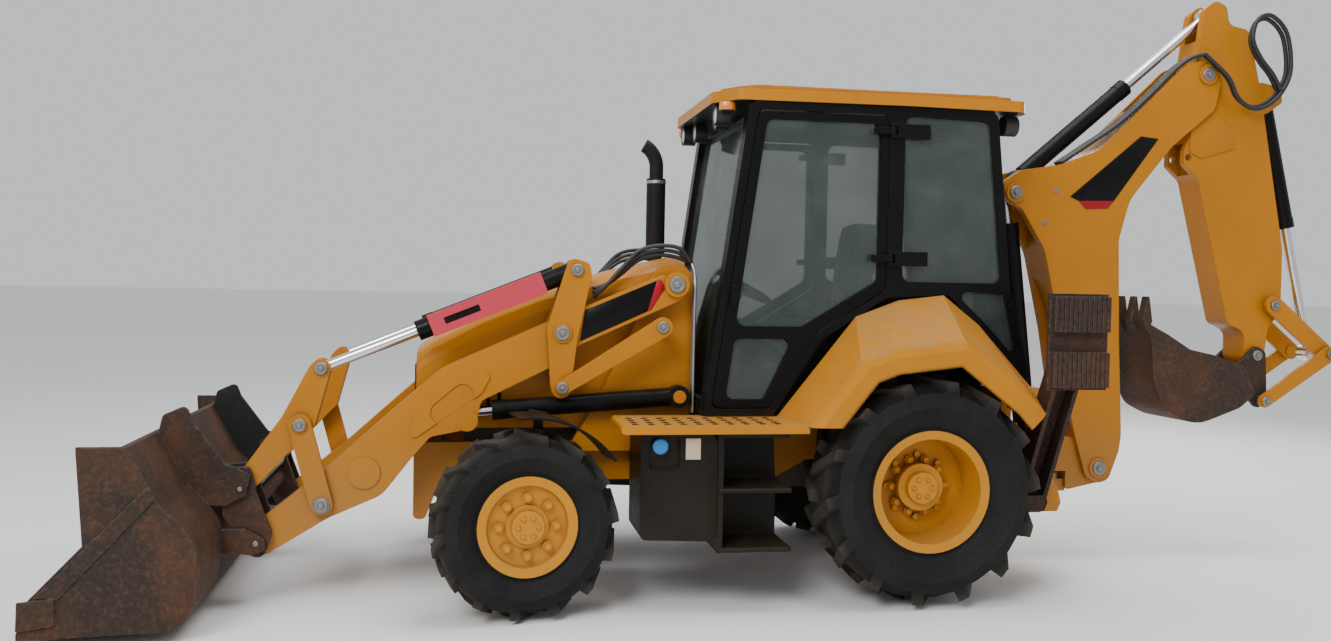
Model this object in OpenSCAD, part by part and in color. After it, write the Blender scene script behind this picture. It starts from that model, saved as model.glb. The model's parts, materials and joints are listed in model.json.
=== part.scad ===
// Backhoe loader in its travelling pose, built from separate named pieces.
// X points forward, Y to the machine's left and Z up. The ground is Z = 0.
// Outlines are drawn from the rear axle (X = 0), then place() centres the machine.

/* [Wheels] */
// distance between the two axles
wheelbase = 2200; // [2000:10:2500]
// outer radius of a front tyre, at the tips of its lugs
front_tyre_r = 485; // [430:5:520]
// width of a front tyre
front_tyre_w = 320; // [260:5:360]
// half the distance between the front wheels' middles
front_wheel_y = 930; // [880:5:980]
// radius of a front rim at the tyre's bead
front_rim_r = 236; // [200:2:260]
// outer radius of a rear tyre, at the tips of its lugs
rear_tyre_r = 630; // [580:5:660]
// width of a rear tyre
rear_tyre_w = 490; // [400:5:500]
// half the distance between the rear wheels' middles
rear_wheel_y = 860; // [840:5:900]
// radius of a rear rim at the tyre's bead
rear_rim_r = 310; // [280:2:330]
// how far the front wheels are turned to the left at rest
steer_rest = 8; // [0:1:12]
// half the distance between the two kingpins
kingpin_y = 740; // [700:5:760]

/* [Frame] */
// outer half width over the main rails
rail_y = 350; // [320:5:370]
// thickness of a rail
rail_t = 60; // [30:5:80]
// inner face of a loader tower
tower_y = 400; // [396:1:420]
// thickness of a loader tower
tower_t = 60; // [30:2:64]
// swing post, behind the rear axle
swing_x = -1200; // [-1260:5:-1180]
// radius of the swing post's pin
swing_pin_r = 50; // [40:1:60]

/* [Cab] */
// outer half width of the cab
cab_y = 700; // [680:5:720]
// thickness of a cab side and of its door
cab_wall = 45; // [30:1:60]
// thickness of a window pane
glass_t = 6; // [4:1:10]
// thickness of the roof's edge
roof_t = 62; // [40:2:90]
// half width of the hood
hood_y = 392; // [340:2:394]
// thickness of the hood's sheet
hood_t = 14; // [6:1:24]

/* [Loader] */
// middle plane of a loader arm
arm_y = 520; // [515:1:525]
// width of a loader arm
arm_w = 100; // [90:2:104]
// radius of the cross tube between the arms
arm_tube_r = 85; // [60:1:100]
// half width of the loader bucket
bucket_y = 1190; // [1120:5:1250]
// thickness of the bucket's sheet
bucket_t = 26; // [14:1:40]
// radius of a lift or tilt barrel
loader_barrel_r = 52; // [44:1:54]
// radius of a lift or tilt rod
loader_rod_r = 29; // [20:1:34]

/* [Backhoe] */
// half width of the boom
boom_y = 140; // [134:1:150]
// half width of the stick
stick_y = 105; // [95:1:110]
// half width of the digging bucket
hoe_bucket_y = 230; // [200:2:238]
// thickness of the digging bucket's sheet
hoe_bucket_t = 16; // [10:1:26]
// radius of the boom barrel
boom_barrel_r = 68; // [50:1:74]
// radius of the stick and bucket barrels
stick_barrel_r = 55; // [42:1:60]
// radius of the backhoe rods
hoe_rod_r = 32; // [24:1:38]
// length of a stabilizer leg, pin to pin
leg_len = 1080; // [950:5:1150]

/* [Clearances] */
// radial play of a pin in its bore
pin_play = 0.1; // [0.05:0.01:0.3]
// side play between a moving piece and its neighbour
side_play = 10; // [6:1:14]
// play around a door in its opening
door_play = 7; // [5:1:12]
// play between a fixed piece and its seat
seat_play = 0.4; // [0.2:0.1:0.8]

/* [Hidden] */
$fn = 40;
// middle of the whole machine, so that the frame's origin is under it
nose_x = 4481;
tail_x = -3186;
mid_x = (nose_x + tail_x) / 2;
front_z = front_tyre_r;
rear_z = rear_tyre_r;
// underside of the rails over the front axle, and the tool boxes' front
rail_low = front_z + 115;
tank_x = wheelbase - 620;

// Loader pivots, each as X and Z
arm_pin = [1330, 1720];
lever_pin = [1960, 1445];
link_pin = [1413, 1485];
lever_low = [1960, 1150];
tilt_base = [1885, 1790];
tilt_eye = [3225, 1246];
lever_mid = [3327, 950];
lever_foot = [3615, 625];
hinge_pin = [3536, 340];
idler_pin = [3215, 527];
lift_eye = [2466, 1008];
lift_base = [1300, 1095];
tube_at = [3001, 689];
hood_pin = [2700, 905];

// Backhoe pivots, each as X and Z
foot_pin = [-1525, 595];
boom_eye = [-900, 2335];
boom_base = [-1095, 720];
stick_base = [-985, 2440];
stick_pin = [-2215, 3137];
stick_eye = [-2277, 3535];
dig_base = [-2719, 3020];
guide_pin = [-2735, 1655];
dig_eye = [-3130, 1340];
power_pin = dig_eye;
bucket_pin = [-2640, 1325];
power_foot = [-2665, 1030];

// Stabilizer pivots, each as Y and Z
leg_pin = [550, 480];
leg_lean = 64;
leg_end = leg_pin + leg_len * [cos(leg_lean), sin(leg_lean)];
leg_x0 = -890;
leg_x1 = -730;

arm_in = arm_y - arm_w / 2;
arm_out = arm_y + arm_w / 2;

// Rounded outlines
function unit(v) = v / norm(v);
function turn(a) = a > 180 ? a - 360 : a < -180 ? a + 360 : a;
function corner(a, b, c, r, n) =
  let(u = unit(a - b), v = unit(c - b), half = acos(max(-1, min(1, u * v))) / 2,
    d = min(r / tan(half), 0.48 * min(norm(a - b), norm(c - b))), rr = d * tan(half),
    m = b + unit(u + v) * rr / sin(half), p = b + u * d - m, q = b + v * d - m,
    a0 = atan2(p[1], p[0]), da = turn(atan2(q[1], q[0]) - a0))
  [for (i = [0 : n]) m + rr * [cos(a0 + da * i / n), sin(a0 + da * i / n)]];
function rounded(p, r, n = 5) = let(k = len(p)) [for (i = [0 : k - 1]) let(ri = is_list(r) ? r[i] : r)
  each ri > 0 ? corner(p[(i + k - 1) % k], p[i], p[(i + 1) % k], ri, n) : [p[i]]];
// a bar with a round end at each of two points
function bar(p, q, r0, r1, n = 8) = let(d = norm(q - p), b = atan2(q[1] - p[1], q[0] - p[0]),
    t = acos((r0 - r1) / d))
  concat([for (i = [0 : n]) let(a = b + t + (360 - 2 * t) * i / n) p + r0 * [cos(a), sin(a)]],
    [for (i = [0 : n]) let(a = b - t + 2 * t * i / n) q + r1 * [cos(a), sin(a)]]);
// an outline moved towards a centre by t
function inset(p, c, t) = [for (v = p) v + unit(c - v) * t];

// Drawing in the side view
module place() { translate([-mid_x, 0, 0]) children(); }
module both() { children(); mirror([0, 1, 0]) children(); }
module side(pts, y0, y1) { translate([0, y1, 0]) rotate([90, 0, 0]) linear_extrude(y1 - y0) polygon(pts); }
module pin(p, r, y0, y1) { translate([p[0], y1, p[1]]) rotate([90, 0, 0]) cylinder(h = y1 - y0, r = r); }
module block(x0, x1, y0, y1, z0, z1) { translate([x0, y0, z0]) cube([x1 - x0, y1 - y0, z1 - z0]); }
// children drawn along Z come to lie along the line from p towards q
module along(p, q, y) {
  translate([p[0], y, p[1]]) rotate([0, 90 - atan2(q[1] - p[1], q[0] - p[0]), 0]) children();
}
// a solid through sections that each have the same number of points
module loft(s) {
  m = len(s[0]);
  pts = [for (sec = s) each sec];
  sides = [for (j = [0 : len(s) - 2]) for (i = [0 : m - 1])
    let(a = j * m + i, b = j * m + (i + 1) % m) each [[a, b, b + m], [a, b + m, a + m]]];
  polyhedron(pts, concat([[for (i = [m - 1 : -1 : 0]) i]], sides,
    [[for (i = [0 : m - 1]) (len(s) - 1) * m + i]]));
}

// Hydraulic rams
module ram_barrel(base, tip, y, r, bore_r, length, eye_r, eye_w, pin_r, chamber_r = 0) {
  difference() {
    union() {
      pin(base, eye_r, y - eye_w / 2, y + eye_w / 2);
      along(base, tip, y) {
        translate([0, 0, eye_r * 0.7]) cylinder(h = length - eye_r * 0.7, r = r);
        translate([0, 0, length - 70]) cylinder(h = 70, r = r + 3);
      }
    }
    pin(base, pin_r + pin_play, y - eye_w, y + eye_w);
    along(base, tip, y) translate([0, 0, eye_r + 20]) cylinder(h = length, r = bore_r);
    // wider chamber for a piston, behind the gland
    if (chamber_r > 0) along(base, tip, y) translate([0, 0, eye_r + 20])
      cylinder(h = length - eye_r - 70, r = chamber_r);
  }
}
module ram_rod(base, tip, y, r, start, eye_r, eye_w, pin_r) {
  l = norm(tip - base);
  along(base, tip, y) translate([0, 0, start]) cylinder(h = l - start - eye_r * 0.5, r = r);
  pin(tip, eye_r, y - eye_w / 2, y + eye_w / 2);
  pin(tip, pin_r, y - eye_w / 2 - 3, y + eye_w / 2 + 3);
}

// Frame and engine
rail_pts = [[2650, rail_low], [2650, 820], [1900, 820], [1150, 900], [-690, 900], [-690, 740], [420, 740],
  [680, rail_low]];
tower_pts = [[1215, 780], [1215, 1770], [1265, 1832], [1400, 1832], [1455, 1745], [1540, 1500], [1740, 1080],
  [1880, 840], [1880, 780]];
plate_half = [[0, 400], [430, 400], [520, 405], [600, 420], [640, 480], [600, 560], [500, 640], [460, 760],
  [460, 1060], [400, 1130], [0, 1130]];
module rear_plate(x0, x1) {
  for (s = [1, -1]) scale([1, s, 1]) translate([x0, 0, 0]) rotate([90, 0, 90])
    linear_extrude(x1 - x0) polygon(plate_half);
}
module swing_strap(z0, z1) {
  translate([0, 0, z0]) linear_extrude(z1 - z0) difference() {
    union() {
      translate([swing_x, -105]) square([-970 - swing_x, 210]);
      translate([swing_x, 0]) circle(105);
    }
    translate([swing_x, 0]) circle(swing_pin_r + pin_play);
  }
}
module main_frame() color("gold") difference() {
  union() {
    both() {
      side(rail_pts, rail_y - rail_t, rail_y);
      side(rounded(tower_pts, 40), tower_y, tower_y + tower_t);
      // tower foot, between rail and tower
      block(1300, 1860, rail_y - 10, tower_y + 10, 790, 818);
      // tank carriers
      block(1260, 1330, rail_y - 10, 600, 690, 760);
      block(1470, 1540, rail_y - 10, 600, 690, 760);
      pin(arm_pin, 45, tower_y + 5, arm_out + 35);
      pin(link_pin, 30, tower_y + 5, loader_link_y + 30);
      pin(lift_base, 36, tower_y + 5, arm_out + 10);
      pin(arm_pin, 70, arm_out + 12, arm_out + 30);
      // lug and pin for the hood
      side(bar([hood_pin[0], 815], hood_pin, 24, 24), hood_y - 84, hood_y - 64);
      pin(hood_pin, 12, hood_y - 80, hood_y - 18);
    }
    // front bolster and the cross members
    side(rounded([[2610, rail_low], [2690, 390], [2755, 390], [2755, 820], [2610, 820]], [0, 30, 30, 0, 0]),
      -rail_y, rail_y);
    block(2080, 2320, -rail_y, rail_y, rail_low, rail_low + 40);
    block(1000, 1080, -rail_y, rail_y, 840, 890);
    // rear frame that carries the backhoe and the stabilizers
    rear_plate(-985, -900);
    rear_plate(-720, -680);
    block(-905, -715, -400, 400, 1060, 1100);
    block(-905, -715, -330, 330, 420, 450);
    swing_strap(400, 440);
    swing_strap(520, 560);
    both() translate([-985, leg_pin[0], leg_pin[1]]) rotate([0, 90, 0]) cylinder(h = 305, r = 38);
  }
  // lightening windows in the rear plates
  both() translate([-1000, 0, 0]) rotate([90, 0, 90]) linear_extrude(150)
    polygon(rounded([[90, 640], [360, 640], [380, 760], [380, 980], [90, 980]], 40));
  // room for the boom ram
  block(-990, -940, -130, 130, 880, 1140);
}
module engine() color("dimgray") {
  block(1390, 2480, -270, 270, rail_low + 40.4, 1270);
  block(450, 1395, -230, 230, 520, 835);
}

// Hood and grille
hood_top = [[2742, 1330], [2660, 1388], [2380, 1540], [2050, 1672], [1640, 1790], [1245, 1885]];
grille_y = 300;
grille_z0 = 858;
grille_z1 = 1250;
hood_sec = [[0, 10], [0.72, 0], [0.88, -16], [0.97, -50], [1, -110]];
function hood_ring(y, dz, low) = concat([[2742, y, low]],
  [for (v = hood_top) [v[0], y, v[1] + dz]], [[1245, y, low]]);
module hood_form(w, drop, low, ends) {
  ys = concat([for (i = [4 : -1 : 0]) [-hood_sec[i][0], hood_sec[i][1]]],
    [for (i = [1 : 4]) [hood_sec[i][0], hood_sec[i][1]]]);
  loft([for (s = ys) [for (v = hood_ring(s[0] * w, s[1] - drop, low))
    [v[0] + (v[0] > 2000 ? -ends : ends), v[1], v[2]]]]);
}
module hood() color("gold") {
  hood_shell();
  both() difference() {
    pin(hood_pin, 26, hood_y - 56, hood_y - hood_t + 2);
    pin(hood_pin, 12 + pin_play, hood_y - 60, hood_y - 16);
  }
}
module hood_shell() difference() {
  hood_form(hood_y, 0, 905, 0);
  hood_form(hood_y - hood_t, hood_t, 800, hood_t);
  // opening for the grille and the notch for the stack
  block(2700, 2800, -grille_y - seat_play, grille_y + seat_play, 800, grille_z1 + seat_play);
  block(1200, 1365, -hood_y - 5, -250, 1480, 2000);
  block(1200, 1262, -hood_y + hood_t, hood_y - hood_t, 800, 1780);
  // room for the hinge lugs when the hood tips
  both() block(2700, 2800, grille_y - 1, hood_y - 58, 800, 960);
  // side louvres
  both() for (i = [0 : 5])
    side(rounded([[2280 + i * 60, 1010], [2300 + i * 60, 1010], [2300 + i * 60, 1230], [2280 + i * 60, 1230]],
      8), hood_y - 30, hood_y + 30);
}
module grille() color("black") difference() {
  block(2728, 2754, -grille_y, grille_y, grille_z0, grille_z1);
  for (i = [0 : 9]) for (s = [-1, 1])
    translate([2700, s * 146 - 128, grille_z0 + 24 + i * 36]) cube([80, 256, 20]);
}

// Tool box, step and platforms
module tank_box() color("black") both() {
  difference() {
    side(rounded([[1180, 380], [tank_x, 395], [tank_x, 948], [1180, 948]], 35), 600, 1000);
    // filler recess
    side(rounded([[tank_x - 206, 760], [tank_x - 40, 760], [tank_x - 40, 932], [tank_x - 206, 932]], 30),
      950, 1010);
  }
  pin([tank_x - 104, 880], 34, 940, 988);
  // step
  difference() {
    side([[780, 330], [1178, 330], [1178, 948], [800, 948], [780, 640]], 700, 1040);
    side([[700, 352], [1150, 352], [1150, 640], [700, 640]], 720, 1100);
    side([[700, 662], [1150, 662], [1150, 930], [700, 930]], 720, 1100);
  }
  block(1176, 1184, 700, 1000, 420, 900);
}

// Cab
cab_pts = [[1198, 1000], [800, 1000], [520, 1430], [150, 1668], [-220, 1690], [-480, 1440], [-722, 1185],
  [-722, 1267], [-596, 1725], [-493, 2738], [959, 2738]];
door_pts = [[1152, 1042], [820, 1042], [548, 1464], [150, 1712], [150, 2692], [912, 2692]];
quarter_pts = [[62, 1760], [-540, 1760], [-448, 2680], [62, 2690]];
rear_low_pts = [[-250, 1712], [-480, 1500], [-640, 1330], [-560, 1700]];
module cab_side() difference() {
  side(rounded(cab_pts, [30, 30, 60, 60, 60, 40, 20, 40, 60, 60, 60]), cab_y - cab_wall, cab_y);
  side(rounded(door_pts, [40, 40, 60, 60, 50, 50]), cab_y - 2 * cab_wall, cab_y + cab_wall);
  side(rounded(quarter_pts, 50), cab_y - 2 * cab_wall, cab_y + cab_wall);
  side(rounded(rear_low_pts, [30, 20, 20, 20]), cab_y - 2 * cab_wall, cab_y + cab_wall);
}
cab_in = cab_y - cab_wall + 1;
arch_y = 580;
arch_pts = [[800, 1000], [520, 1430], [150, 1668], [-220, 1690], [-480, 1440], [-722, 1185]];
// door hinge pins, behind the doors
hinge_x = 140;
hinge_y = cab_y + 18;
hinge_z = [1888, 2600];
module cab_frame() color("black") {
  both() {
    cab_side();
    // front post return, beside the windshield
    side([[1198, 1010], [1120, 1010], [885, 2720], [962, 2720]], cab_in - 55, cab_in - 7);
    side([[1198, 1010], [1162, 1010], [926, 2720], [962, 2720]], cab_in - 10, cab_in);
    side([[-722, 1190], [-722, 1267], [-596, 1725], [-493, 2720], [-430, 2720], [-530, 1725], [-650, 1267],
      [-650, 1190]], cab_in - 45, cab_in);
    // rubber mounts on the rails
    block(1050, 1140, rail_y - rail_t, rail_y, 901, 1010);
    block(-600, -500, rail_y - rail_t, rail_y, 900, 1190);
    // wheel arch: an inner wall and a shelf over the tyre
    side(concat(arch_pts, [[-722, 1170], [300, 1170], [420, 1000]]), arch_y, arch_y + 16);
    side(concat(arch_pts, [[-722, 1215], [-490, 1465], [-226, 1716], [160, 1694], [540, 1446], [826, 1000]]),
      arch_y, cab_in);
    // fixed half of each door hinge, with its pin
    for (z = hinge_z) {
      block(-75, hinge_x - 28, cab_y - 1, hinge_y + 12, z - 40, z + 40);
      for (e = [z - 40, z + 25]) {
        block(hinge_x - 40, hinge_x, hinge_y - 12, hinge_y + 12, e, e + 15);
        translate([hinge_x, hinge_y, e]) cylinder(h = 15, r = 15);
      }
      translate([hinge_x, hinge_y, z - 40]) cylinder(h = 80, r = 9);
    }
  }
  side([[1198, 1005], [1120, 1005], [1108, 1090], [1186, 1090]], -cab_in + 7, cab_in - 7);
  side([[970, 2655], [890, 2655], [882, 2738], [959, 2738]], -cab_in + 7, cab_in - 7);
  side([[-501, 2655], [-430, 2655], [-424, 2738], [-493, 2738]], -cab_in, cab_in);
  side([[-604, 1690], [-540, 1690], [-530, 1770], [-591, 1770]], -cab_in, cab_in);
  side([[-722, 1185], [-640, 1185], [-640, 1290], [-716, 1290]], -cab_in, cab_in);
  // floor, narrower between the wheel arches
  side([[1190, 1000], [800, 1000], [800, 1035], [1190, 1035]], -cab_in, cab_in);
  side([[810, 1000], [420, 1000], [300, 1170], [-722, 1170], [-722, 1205], [320, 1205], [440, 1035],
    [810, 1035]], -arch_y - 10, arch_y + 10);
}
module cab_glass() color("lightgreen", 0.4) {
  g = seat_play;
  w = cab_in - 55 - g;
  // windshield, rear window and the pane under it
  side([[1152, 1090 + g], [1152 - glass_t, 1090 + g], [932 - glass_t, 2655 - g], [932, 2655 - g]], -w, w);
  side([[-560, 1770 + g], [-560 + glass_t, 1770 + g], [-470 + glass_t, 2655 - g], [-470, 2655 - g]],
    -cab_in + 45 + g, cab_in - 45 - g);
  side([[-690, 1290 + g], [-690 + glass_t, 1290 + g], [-572 + glass_t, 1690 - g], [-572, 1690 - g]],
    -cab_in + 45 + g, cab_in - 45 - g);
  both() {
    side(inset(rounded(quarter_pts, 50), [-240, 2220], g), cab_y - 26, cab_y - 26 + glass_t);
    side(inset(rounded(rear_low_pts, [30, 20, 20, 20]), [-490, 1570], g), cab_y - 26, cab_y - 26 + glass_t);
  }
}
roof_pts = [[1138, 520], [1020, 700], [60, 745], [-640, 715], [-690, 640], [-690, -640], [-640, -715],
  [60, -745], [1020, -700], [1138, -520]];
module roof() color("gold") {
  translate([0, 0, 2738.4]) linear_extrude(roof_t) polygon(rounded(roof_pts, 60));
  translate([0, 0, 2738.4 + roof_t]) linear_extrude(26)
    polygon(rounded(inset(roof_pts, [230, 0], 75), 80));
  translate([0, 0, 2738.4 + roof_t + 26]) linear_extrude(14)
    polygon(rounded(inset(roof_pts, [230, 0], 140), 110));
}
module door(s) scale([1, s, 1]) difference() {
  union() {
    difference() {
      side(rounded(inset(door_pts, [560, 1900], door_play * 1.2), [40, 40, 60, 60, 50, 50]),
        cab_y - cab_wall, cab_y);
      side(rounded([[1020, 1500], [640, 1500], [205, 1760], [205, 2640], [862, 2640]], 50),
        cab_y - cab_wall - 5, cab_y + 5);
      side(rounded([[1070, 1095], [850, 1095], [690, 1430], [1023, 1430]], 40),
        cab_y - cab_wall - 5, cab_y + 5);
    }
    // panes
    side([[1040, 1490], [630, 1490], [195, 1750], [195, 2650], [870, 2650]], cab_y - 26, cab_y - 26 + glass_t);
    side([[1080, 1085], [840, 1085], [680, 1440], [1030, 1440]], cab_y - 26, cab_y - 26 + glass_t);
    // handle and the moving half of each hinge
    block(1014, 1050, cab_y - 2, cab_y + 22, 1600, 1720);
    for (z = hinge_z) {
      block(hinge_x, 250, hinge_y - 12, hinge_y + 12, z - 19, z + 19);
      block(165, 240, cab_y - 2, hinge_y - 8, z - 19, z + 19);
      translate([hinge_x, hinge_y, z - 19]) cylinder(h = 38, r = 17);
    }
  }
  for (z = hinge_z) translate([hinge_x, hinge_y, z - 50]) cylinder(h = 100, r = 9 + pin_play);
}
module door_left() color("black") door(1);
module door_right() color("black") door(-1);

module seat() color("dimgray") {
  block(230, 560, -150, 150, 1205, 1400);
  side(rounded([[150, 1400], [640, 1400], [660, 1500], [250, 1520], [110, 2120], [20, 2120], [60, 1500]], 40),
    -250, 250);
}
module console() color("black") {
  side(rounded([[860, 1035], [1080, 1035], [1050, 1500], [960, 1560], [900, 1540]], 30), -170, 170);
  along([920, 1520], [800, 1760], 0) {
    cylinder(h = 230, r = 35);
    translate([0, 0, 215]) rotate_extrude() translate([190, 0]) circle(16, $fn = 16);
    for (a = [30, 150, 270]) rotate(a) translate([0, -14, 208]) cube([180, 28, 14]);
  }
  both() side(rounded([[60, 1205], [420, 1205], [520, 1480], [60, 1560]], 40), 330, 480);
}

// Rear fenders with the side platforms
fender_in = [[787, 985], [330, 1560], [80, 1655], [-190, 1688], [-406, 1523], [-743, 1163]];
// how far each stretch falls inwards from the cab to the outer edge
fender_fall = [67, 175, 231, 203, 145];
function left(p, i) = let(u = unit(p[i + 1] - p[i])) [-u[1], u[0]];
// an open line with each stretch moved to its left by its own distance, so its faces stay flat
function moved(p, d) = let(k = len(d)) [for (i = [0 : k])
  i == 0 ? let(n = left(p, 0)) p[0] + d[0] * (n + [n[1], -n[0]] * n[1] / n[0]) :
  i == k ? p[k] + d[k - 1] * left(p, k - 1) :
  let(m = left(p, i - 1), n = left(p, i), u = [m[1], -m[0]])
    p[i] + d[i - 1] * m + u * (d[i] - d[i - 1] * (m * n)) / (u * n)];
function fender_ring(y, part, drop) =
  let(a = moved(fender_in, [for (v = fender_fall) v * part + drop]),
    b = moved(fender_in, [for (v = fender_fall) v * part + drop + 28]))
  concat([for (v = a) [v[0], y, v[1]]], [for (i = [len(b) - 1 : -1 : 0]) [b[i][0], y, b[i][1]]]);
module fenders() color("gold") both() {
  loft([fender_ring(cab_y + seat_play, 0, 0), fender_ring(1050, 1, 0), fender_ring(1085, 1, 12),
    fender_ring(1100, 1, 50), fender_ring(1104, 1, 110)]);
  // platform with a rounded edge
  side(rounded([[690, 949], [1690, 949], [1690, 1000], [690, 1000]], [0, 20, 20, 0]), 620, 1046);
}

// Exhaust stack and lamps
module stack() color("black") {
  y = -320;
  translate([1305, y, 1500]) cylinder(h = 960, r = 44);
  translate([1305, y, 1905]) cylinder(h = 480, r = 60);
  translate([1305, y, 2460]) rotate([90, 0, 180]) translate([-150, 0, 0]) rotate_extrude(angle = 62)
    translate([150, 0]) circle(44);
  block(1285, 1325, -tower_y, y, 1690, 1760);
}
module lamp(x, y, z, s) {
  translate([x, y, z]) rotate([0, 0, s]) {
    difference() {
      translate([0, 0, -60]) rotate([0, 90, 0]) cylinder(h = 80, r = 58, center = true);
      translate([45, 0, -60]) rotate([0, 90, 0]) cylinder(h = 30, r = 48, center = true);
    }
    translate([-20, -16, -20]) cube([40, 32, 20]);
  }
}
module lamps() color("black") both() {
  lamp(1070, 470, 2738.4, 0);
  lamp(1030, 300, 2738.4, 0);
  lamp(-628, 560, 2738.4, 180);
  // amber lamps
  translate([1065, 590, 2690]) cylinder(h = 48, r = 38);
}

// Axles and knuckles
module front_axle() color("dimgray") difference() {
  union() {
    pin([wheelbase, front_z], 78, -620, 620);
    translate([wheelbase, 0, front_z]) sphere(112);
    block(wheelbase - 90, wheelbase + 90, -120, 120, front_z, rail_low);
    both() {
      block(wheelbase - 80, wheelbase + 80, 560, 640, front_z - 132, front_z + 132);
      for (z = [front_z - 132, front_z + 96]) translate([wheelbase, 0, z]) {
        translate([-40, 600, 0]) cube([80, kingpin_y - 600, 36]);
        translate([0, kingpin_y, 0]) cylinder(h = 36, r = 65);
      }
    }
    // steering ram behind the beam
    pin([wheelbase - 150, front_z], 40, -330, 330);
    pin([wheelbase - 150, front_z], 20, -520, 520);
    block(wheelbase - 150, wheelbase, -60, 60, front_z - 25, front_z + 25);
  }
  both() translate([wheelbase, kingpin_y, front_z - 200]) cylinder(h = 400, r = 30 + pin_play);
}
module rear_axle() color("dimgray") {
  pin([0, rear_z], 108, -560, 560);
  pin([0, rear_z], 150, -(rear_wheel_y - rear_tyre_w / 2 - 28), -520);
  pin([0, rear_z], 150, 520, rear_wheel_y - rear_tyre_w / 2 - 28);
  translate([0, 0, rear_z]) rotate([0, 90, 0]) cylinder(h = 380, r = 185, center = true);
  both() {
    block(-110, 110, rail_y - rail_t, rail_y, rear_z, 740);
    pin([0, rear_z], 70, 500, rear_wheel_y - 40);
  }
}
module steered(s) {
  translate([wheelbase, s * kingpin_y, 0]) rotate(steer_rest) translate([-wheelbase, -s * kingpin_y, 0])
    scale([1, s, 1]) children();
}
guard_r = front_tyre_r + 62;
module knuckle() {
  translate([wheelbase, kingpin_y, front_z - 94]) cylinder(h = 188, r = 60);
  translate([wheelbase, kingpin_y, front_z - 130]) cylinder(h = 260, r = 30);
  pin([wheelbase, front_z], 62, kingpin_y, front_wheel_y + 60);
  // mudguard with its stay
  side([for (i = [0 : 12]) let(a = 84 + 60 * i / 12) [wheelbase, front_z] + guard_r * [cos(a), sin(a)],
    for (i = [12 : -1 : 0]) let(a = 84 + 60 * i / 12) [wheelbase, front_z] + (guard_r + 12) * [cos(a), sin(a)]],
    front_wheel_y - 120, front_wheel_y + 150);
  side([[wheelbase - 20, front_z - 40], [wheelbase - 20, front_z + 50], [wheelbase - 84, front_z + 80],
    [wheelbase - 84, front_z + guard_r - 12], [wheelbase - 132, front_z + guard_r - 12],
    [wheelbase - 132, front_z - 10]], kingpin_y - 16, kingpin_y + 12);
  side(bar([wheelbase, front_z] + (guard_r + 2) * [cos(97), sin(97)],
    [wheelbase, front_z] + (guard_r + 2) * [cos(105), sin(105)], 16, 16), kingpin_y - 16, front_wheel_y - 110);
}
module knuckle_left() color("black") steered(1) knuckle();
module knuckle_right() color("black") steered(-1) knuckle();

// Wheels, revolved about their own axle lines
module revolve_y(z, x, y) { translate([x, y, z]) rotate([-90, 0, 0]) rotate_extrude($fn = 72) children(); }
tyre_fn = 30;
lug_count = 14;
// radius and width of half a carcass section, from the bead out to the crown
function carcass_half(r, w, b) = let(d = r - b, h = 0.36 * w - 10)
  [[b, h], [b + 30, h], [b + 0.5 * d, 0.5 * w], [0.85 * r, 0.46 * w], [0.935 * r, 0.24 * w]];
module carcass(r, w, b) {
  half = carcass_half(r, w, b);
  rotate([-90, 0, 0]) rotate_extrude($fn = tyre_fn)
    polygon(concat(half, [for (i = [len(half) - 1 : -1 : 0]) [half[i][0], -half[i][1]]]));
}
// one bar lug from the middle of the tread to a shoulder, with sloping sides; s is its side
module lug(r, w, s) {
  x = 0.1 * r;
  t = 0.05 * r;
  tip = r / cos(90 / lug_count);
  top = [[x + t, 0], [x - t, 0], [-x - t, 0.47 * w], [-x + t, 0.47 * w]];
  mid = [0, 0.235 * w];
  base = [for (v = top) mid + 1.15 * (v - mid)];
  scale([1, s, 1]) translate([0, 0, sqrt(tip * tip - (x + t) * (x + t))]) rotate([-7, 0, 0])
    loft([[for (v = base) [v[0], v[1], -0.2 * r]], [for (v = top) [v[0], v[1], 0]]]);
}
// two staggered rows of lugs on a carcass; resize sets the exact size and keeps the tyre faceted
module tyre(x, y, z, r, w, b) translate([x, y, z]) resize([2 * r, w, 2 * r]) {
  carcass(r, w, (b + seat_play) / cos(180 / tyre_fn));
  for (s = [-1, 1]) for (i = [0 : lug_count - 1])
    rotate([0, (i + s / 4) * 360 / lug_count - asin(0.15 * cos(90 / lug_count)), 0]) lug(r, w, s);
}
module front_tyre() tyre(wheelbase, front_wheel_y, front_z, front_tyre_r, front_tyre_w, front_rim_r);
module rear_tyre() tyre(0, rear_wheel_y, rear_z, rear_tyre_r, rear_tyre_w, rear_rim_r);
// rim half section: flange, well and dished disc; d is the disc's place
module rim_section(b, w, d, hub_r, nose) {
  h = 0.36 * w;
  polygon([[hub_r, d - 14], [b - 40, d - 14], [b - 26, -h + 30], [b - 26, -h], [b - 4, -h - 4], [b + 22, -h - 8],
    [b + 22, -h - 2], [b, -h + 6], [b, h - 6], [b + 22, h + 2], [b + 22, h + 8], [b - 4, h + 4], [b - 26, h],
    [b - 32, d + 8], [hub_r + 60, d + 8], [hub_r + 40, nose], [hub_r, nose]]);
}
module bolts(n, pcd_r, r, y0, y1, x, z) {
  for (i = [0 : n - 1]) pin([x, z] + pcd_r * [cos(360 * i / n), sin(360 * i / n)], r, y0, y1);
}
module front_rim() {
  revolve_y(front_z, wheelbase, front_wheel_y)
    rim_section(front_rim_r, front_tyre_w, 78, 62 + pin_play, 90);
  pin([wheelbase, front_z], 110, front_wheel_y + 61, front_wheel_y + 100);
  pin([wheelbase, front_z], 84, front_wheel_y + 90, front_wheel_y + 128);
  bolts(8, 148, 15, front_wheel_y + 80, front_wheel_y + 104, wheelbase, front_z);
}
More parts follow.
